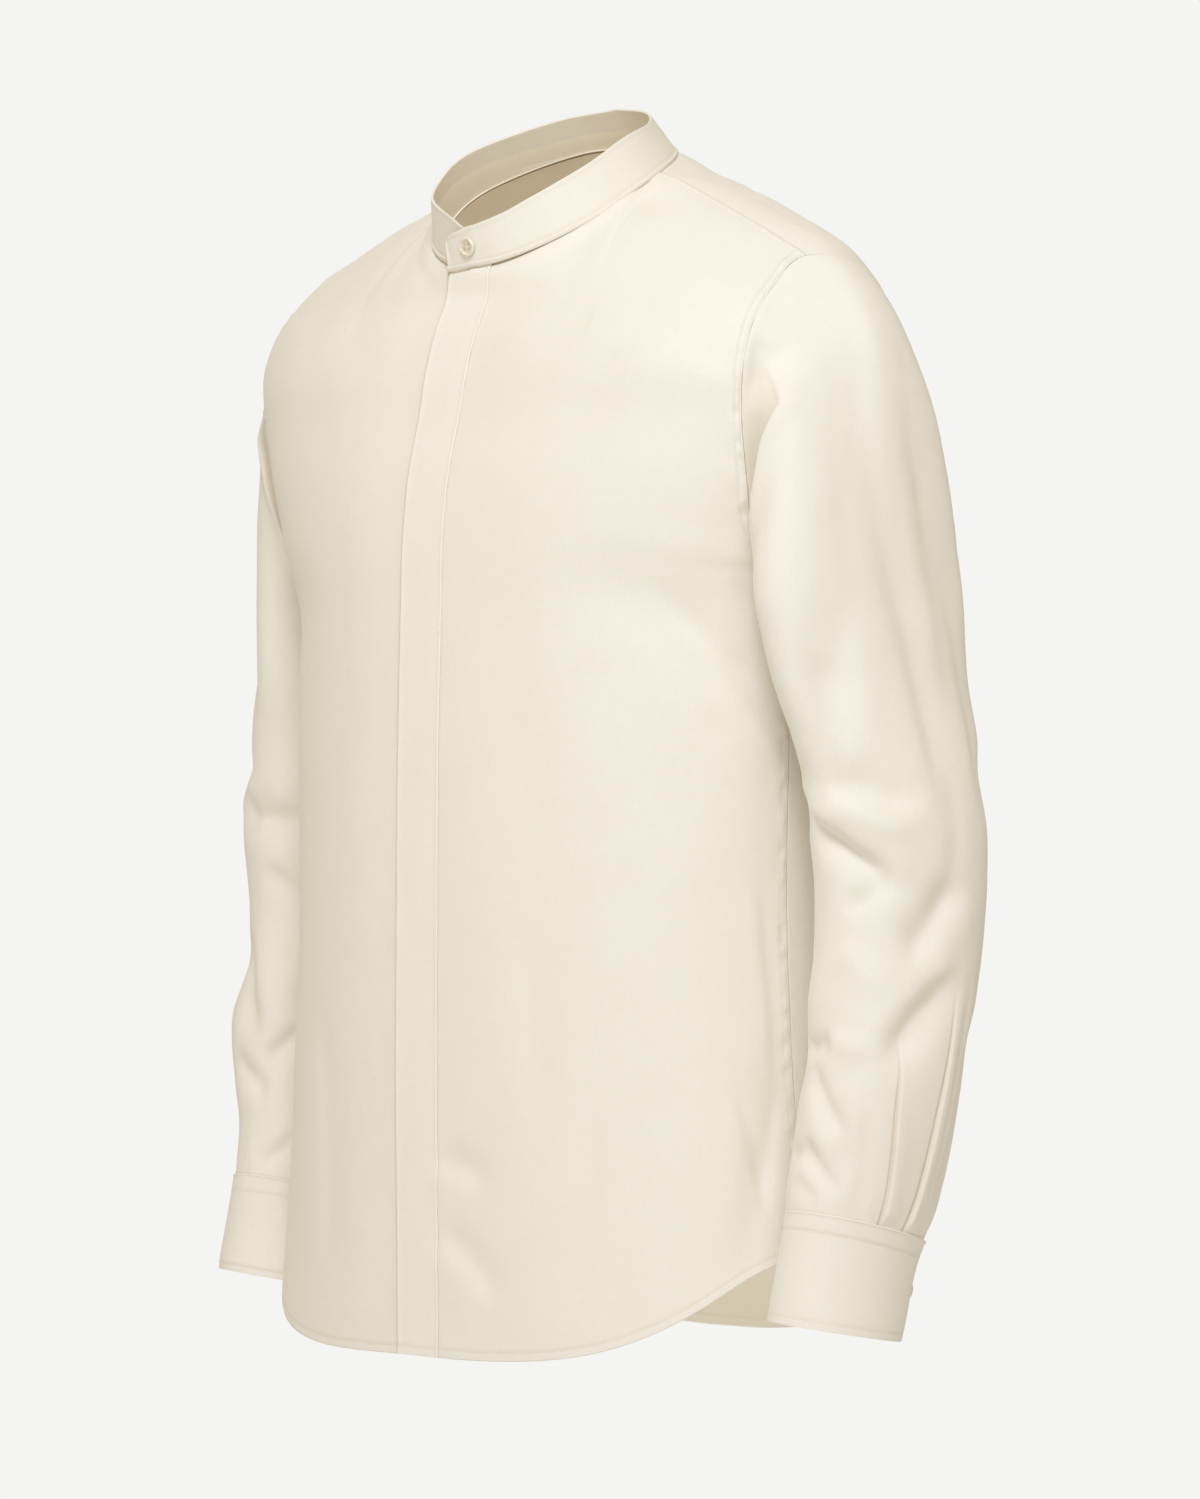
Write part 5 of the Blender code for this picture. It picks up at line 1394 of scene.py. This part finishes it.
def button(node, centre, facing):
    """A button turned on a lathe and drilled, with its thread, turned about the way that it faces."""
    profile = [
        (0, 0), (0.84, 0), (0.95, 0.10), (1, 0.32), (1, 0.62), (0.97, 0.86), (0.90, 1.0),
        (0.80, 1.0), (0.72, 0.92), (0.66, 0.76), (0.56, 0.66), (0, 0.62),
    ]
    mesh = bmesh.new()
    corners = [mesh.verts.new((radius, 0, height)) for radius, height in profile]
    edges = [mesh.edges.new(pair) for pair in zip(corners, corners[1:])]
    bmesh.ops.spin(mesh, geom=corners + edges, cent=(0, 0, 0), axis=(0, 0, 1), angle=2 * math.pi, steps=48)
    bmesh.ops.remove_doubles(mesh, verts=mesh.verts, dist=1e-4)
    bmesh.ops.recalc_face_normals(mesh, faces=mesh.faces)
    drills = bmesh.new()
    for x in (-HOLE_AT, HOLE_AT):
        for y in (-HOLE_AT, HOLE_AT):
            bmesh.ops.create_cone(
                drills, cap_ends=True, segments=16, radius1=HOLE_RADIUS, radius2=HOLE_RADIUS,
                depth=4, matrix=Matrix.Translation((x, y, 0)),
            )
    disc, drill = added("blank", mesh_of("blank", mesh)), added("bits", mesh_of("bits", drills))
    cut = disc.modifiers.new("holes", "BOOLEAN")
    cut.operation, cut.solver, cut.object = "DIFFERENCE", "EXACT", drill
    drilled = disc.evaluated_get(bpy.context.evaluated_depsgraph_get()).to_mesh()
    mesh = bmesh.new()
    mesh.from_mesh(drilled)
    from_middle = mesh.verts.layers.float.new("from_middle")
    for vert in mesh.verts:
        vert[from_middle] = vert.co.xy.length
    for helper in (disc, drill):
        bpy.data.objects.remove(helper)
    turned = Vector(facing).to_track_quat("Z", "Y").to_matrix().to_4x4()
    size = Matrix.Diagonal((BUTTON_RADIUS, BUTTON_RADIUS, BUTTON_THICK, 1))
    placed = Matrix.Translation(Vector(centre)) @ turned @ size
    mesh.transform(placed)
    piece = shown(node + "_disc", mesh, horn)
    piece.data.set_sharp_from_angle(angle=RIM_CREASE)
    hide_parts(node)
    bars = bmesh.new()
    for y in (-HOLE_AT, HOLE_AT):
        for k in (-1, 0, 1):
            bmesh.ops.create_uvsphere(
                bars, u_segments=8, v_segments=6, radius=1,
                matrix=placed @ Matrix.Translation((0, y + 0.035 * k, 0.66)) @ BAR,
            )
    shown(node + "_thread", bars, thread)


centre = neck_point(COLLAR_BUTTON_TURN, 0.5)
away = unit((centre - [0, NECK_MIDDLE, 0]) * [1, 1, 0])
around = neck_point(COLLAR_BUTTON_TURN + 1, 0.5) - neck_point(COLLAR_BUTTON_TURN - 1, 0.5)
facing = facing_of(around, neck_point(COLLAR_BUTTON_TURN, 0.6) - centre, away)
button("collar_button", centre + away * (COLLAR_PROUD + COLLAR_LAP) + facing * BUTTON_GAP, facing)
for side in SLEEVES:
    up = CUFF_TOP_UP[side] + (CUFF_END_UP[side] - CUFF_TOP_UP[side]) / 2
    centre = tilted(ring_point(side, CUFF_BUTTON_ROUND, up), side, np.array(0.5))
    away = unit((centre - wrist_middle(side)) * [1, 1, 0])
    around = ring_point(side, CUFF_BUTTON_ROUND + 0.01, up) - ring_point(side, CUFF_BUTTON_ROUND - 0.01, up)
    facing = facing_of(around, ring_point(side, CUFF_BUTTON_ROUND, up + 0.01) - centre, away)
    centre = centre + away * (CUFF_PROUD + CUFF_LAP) + facing * BUTTON_GAP
    if side == "right":
        centre, facing = mirrored(centre), mirrored(facing)
    button("cuff_button_" + side, centre, facing)


# The studio
# A plain pale floor well below the shirt, an even pale surround, and four soft lights: the strongest from
# the camera's side and above, two beside it, and one behind.

PALE = (0.905, 0.905, 0.888, 1)
FLOOR_UP = -1.45
FLOOR_RADIUS = 3.4
pale_floor, tree, surface = material("studio_floor")
grain = speckle(tree, tree.nodes.new("ShaderNodeTexCoord").outputs["Object"], 3.0)
grain = ramp(tree, grain, (0, (0.30, 0.30, 0.296)), (1, (0.31, 0.31, 0.306)))
tree.links.new(grain, surface.inputs["Base Color"])
settings(surface, Roughness=0.9, Specular_IOR_Level=0.0, Emission_Color=PALE, Emission_Strength=0.62)
ground = bmesh.new()
level = Matrix.Translation((0, 0, FLOOR_UP))
bmesh.ops.create_circle(ground, cap_ends=True, segments=96, radius=FLOOR_RADIUS, matrix=level)
floor = added("floor", mesh_of("floor", ground))
floor.data.materials.append(pale_floor)

world = bpy.data.worlds.new("studio")
bpy.context.scene.world = world
world.use_nodes = True
tree = world.node_tree
seen = tree.nodes.new("ShaderNodeLightPath")
choice = tree.nodes.new("ShaderNodeMixShader")
plain = tree.nodes.new("ShaderNodeBackground")
settings(plain, Color=PALE)
filling = tree.nodes["Background"]
settings(filling, Color=(1.0, 0.865, 0.62, 1), Strength=0.485)
tree.links.new(seen.outputs["Is Camera Ray"], choice.inputs[0])
tree.links.new(filling.outputs[0], choice.inputs[1])
tree.links.new(plain.outputs[0], choice.inputs[2])
tree.links.new(choice.outputs[0], tree.nodes["World Output"].inputs["Surface"])

AIM = Vector((0.0153, 0.0165, -0.36))
LIGHT_DISTANCE = 3.2


def aimed(piece, azimuth, elevation, distance):
    """A lamp or a camera set at a distance from the shirt and turned to it."""
    turn, rise = math.radians(azimuth), math.radians(elevation)
    away = Vector((math.sin(turn) * math.cos(rise), -math.cos(turn) * math.cos(rise), math.sin(rise)))
    piece.location = AIM + distance * away
    piece.rotation_euler = away.to_track_quat("Z", "Y").to_euler()


def soft_light(name, azimuth, elevation, size, watts, colour):
    """A square softbox turned to the shirt."""
    lamp = bpy.data.lights.new(name, "AREA")
    lamp.size, lamp.energy, lamp.color = size, watts, colour
    piece = added(name, lamp)
    aimed(piece, azimuth, elevation, LIGHT_DISTANCE)
    piece.visible_camera = False


soft_light("key_light", 41, 42, 1.0, 52, (0.78, 0.865, 1.0))
soft_light("front_light", 60, 28, 1.6, 13, (0.97, 0.98, 1.0))
soft_light("side_light", -20, 15, 1.6, 8, (1.0, 1.0, 0.98))
soft_light("back_light", 232, 38, 1.6, 17, (0.98, 0.98, 1.0))

bpy.context.scene.view_settings.view_transform = "Standard"
camera = added("camera", bpy.data.cameras.new("camera"))
aimed(camera, 47, 1.15, 5.0)
camera.data.lens = 192.13
camera.data.clip_end = 100
bpy.context.scene.camera = camera
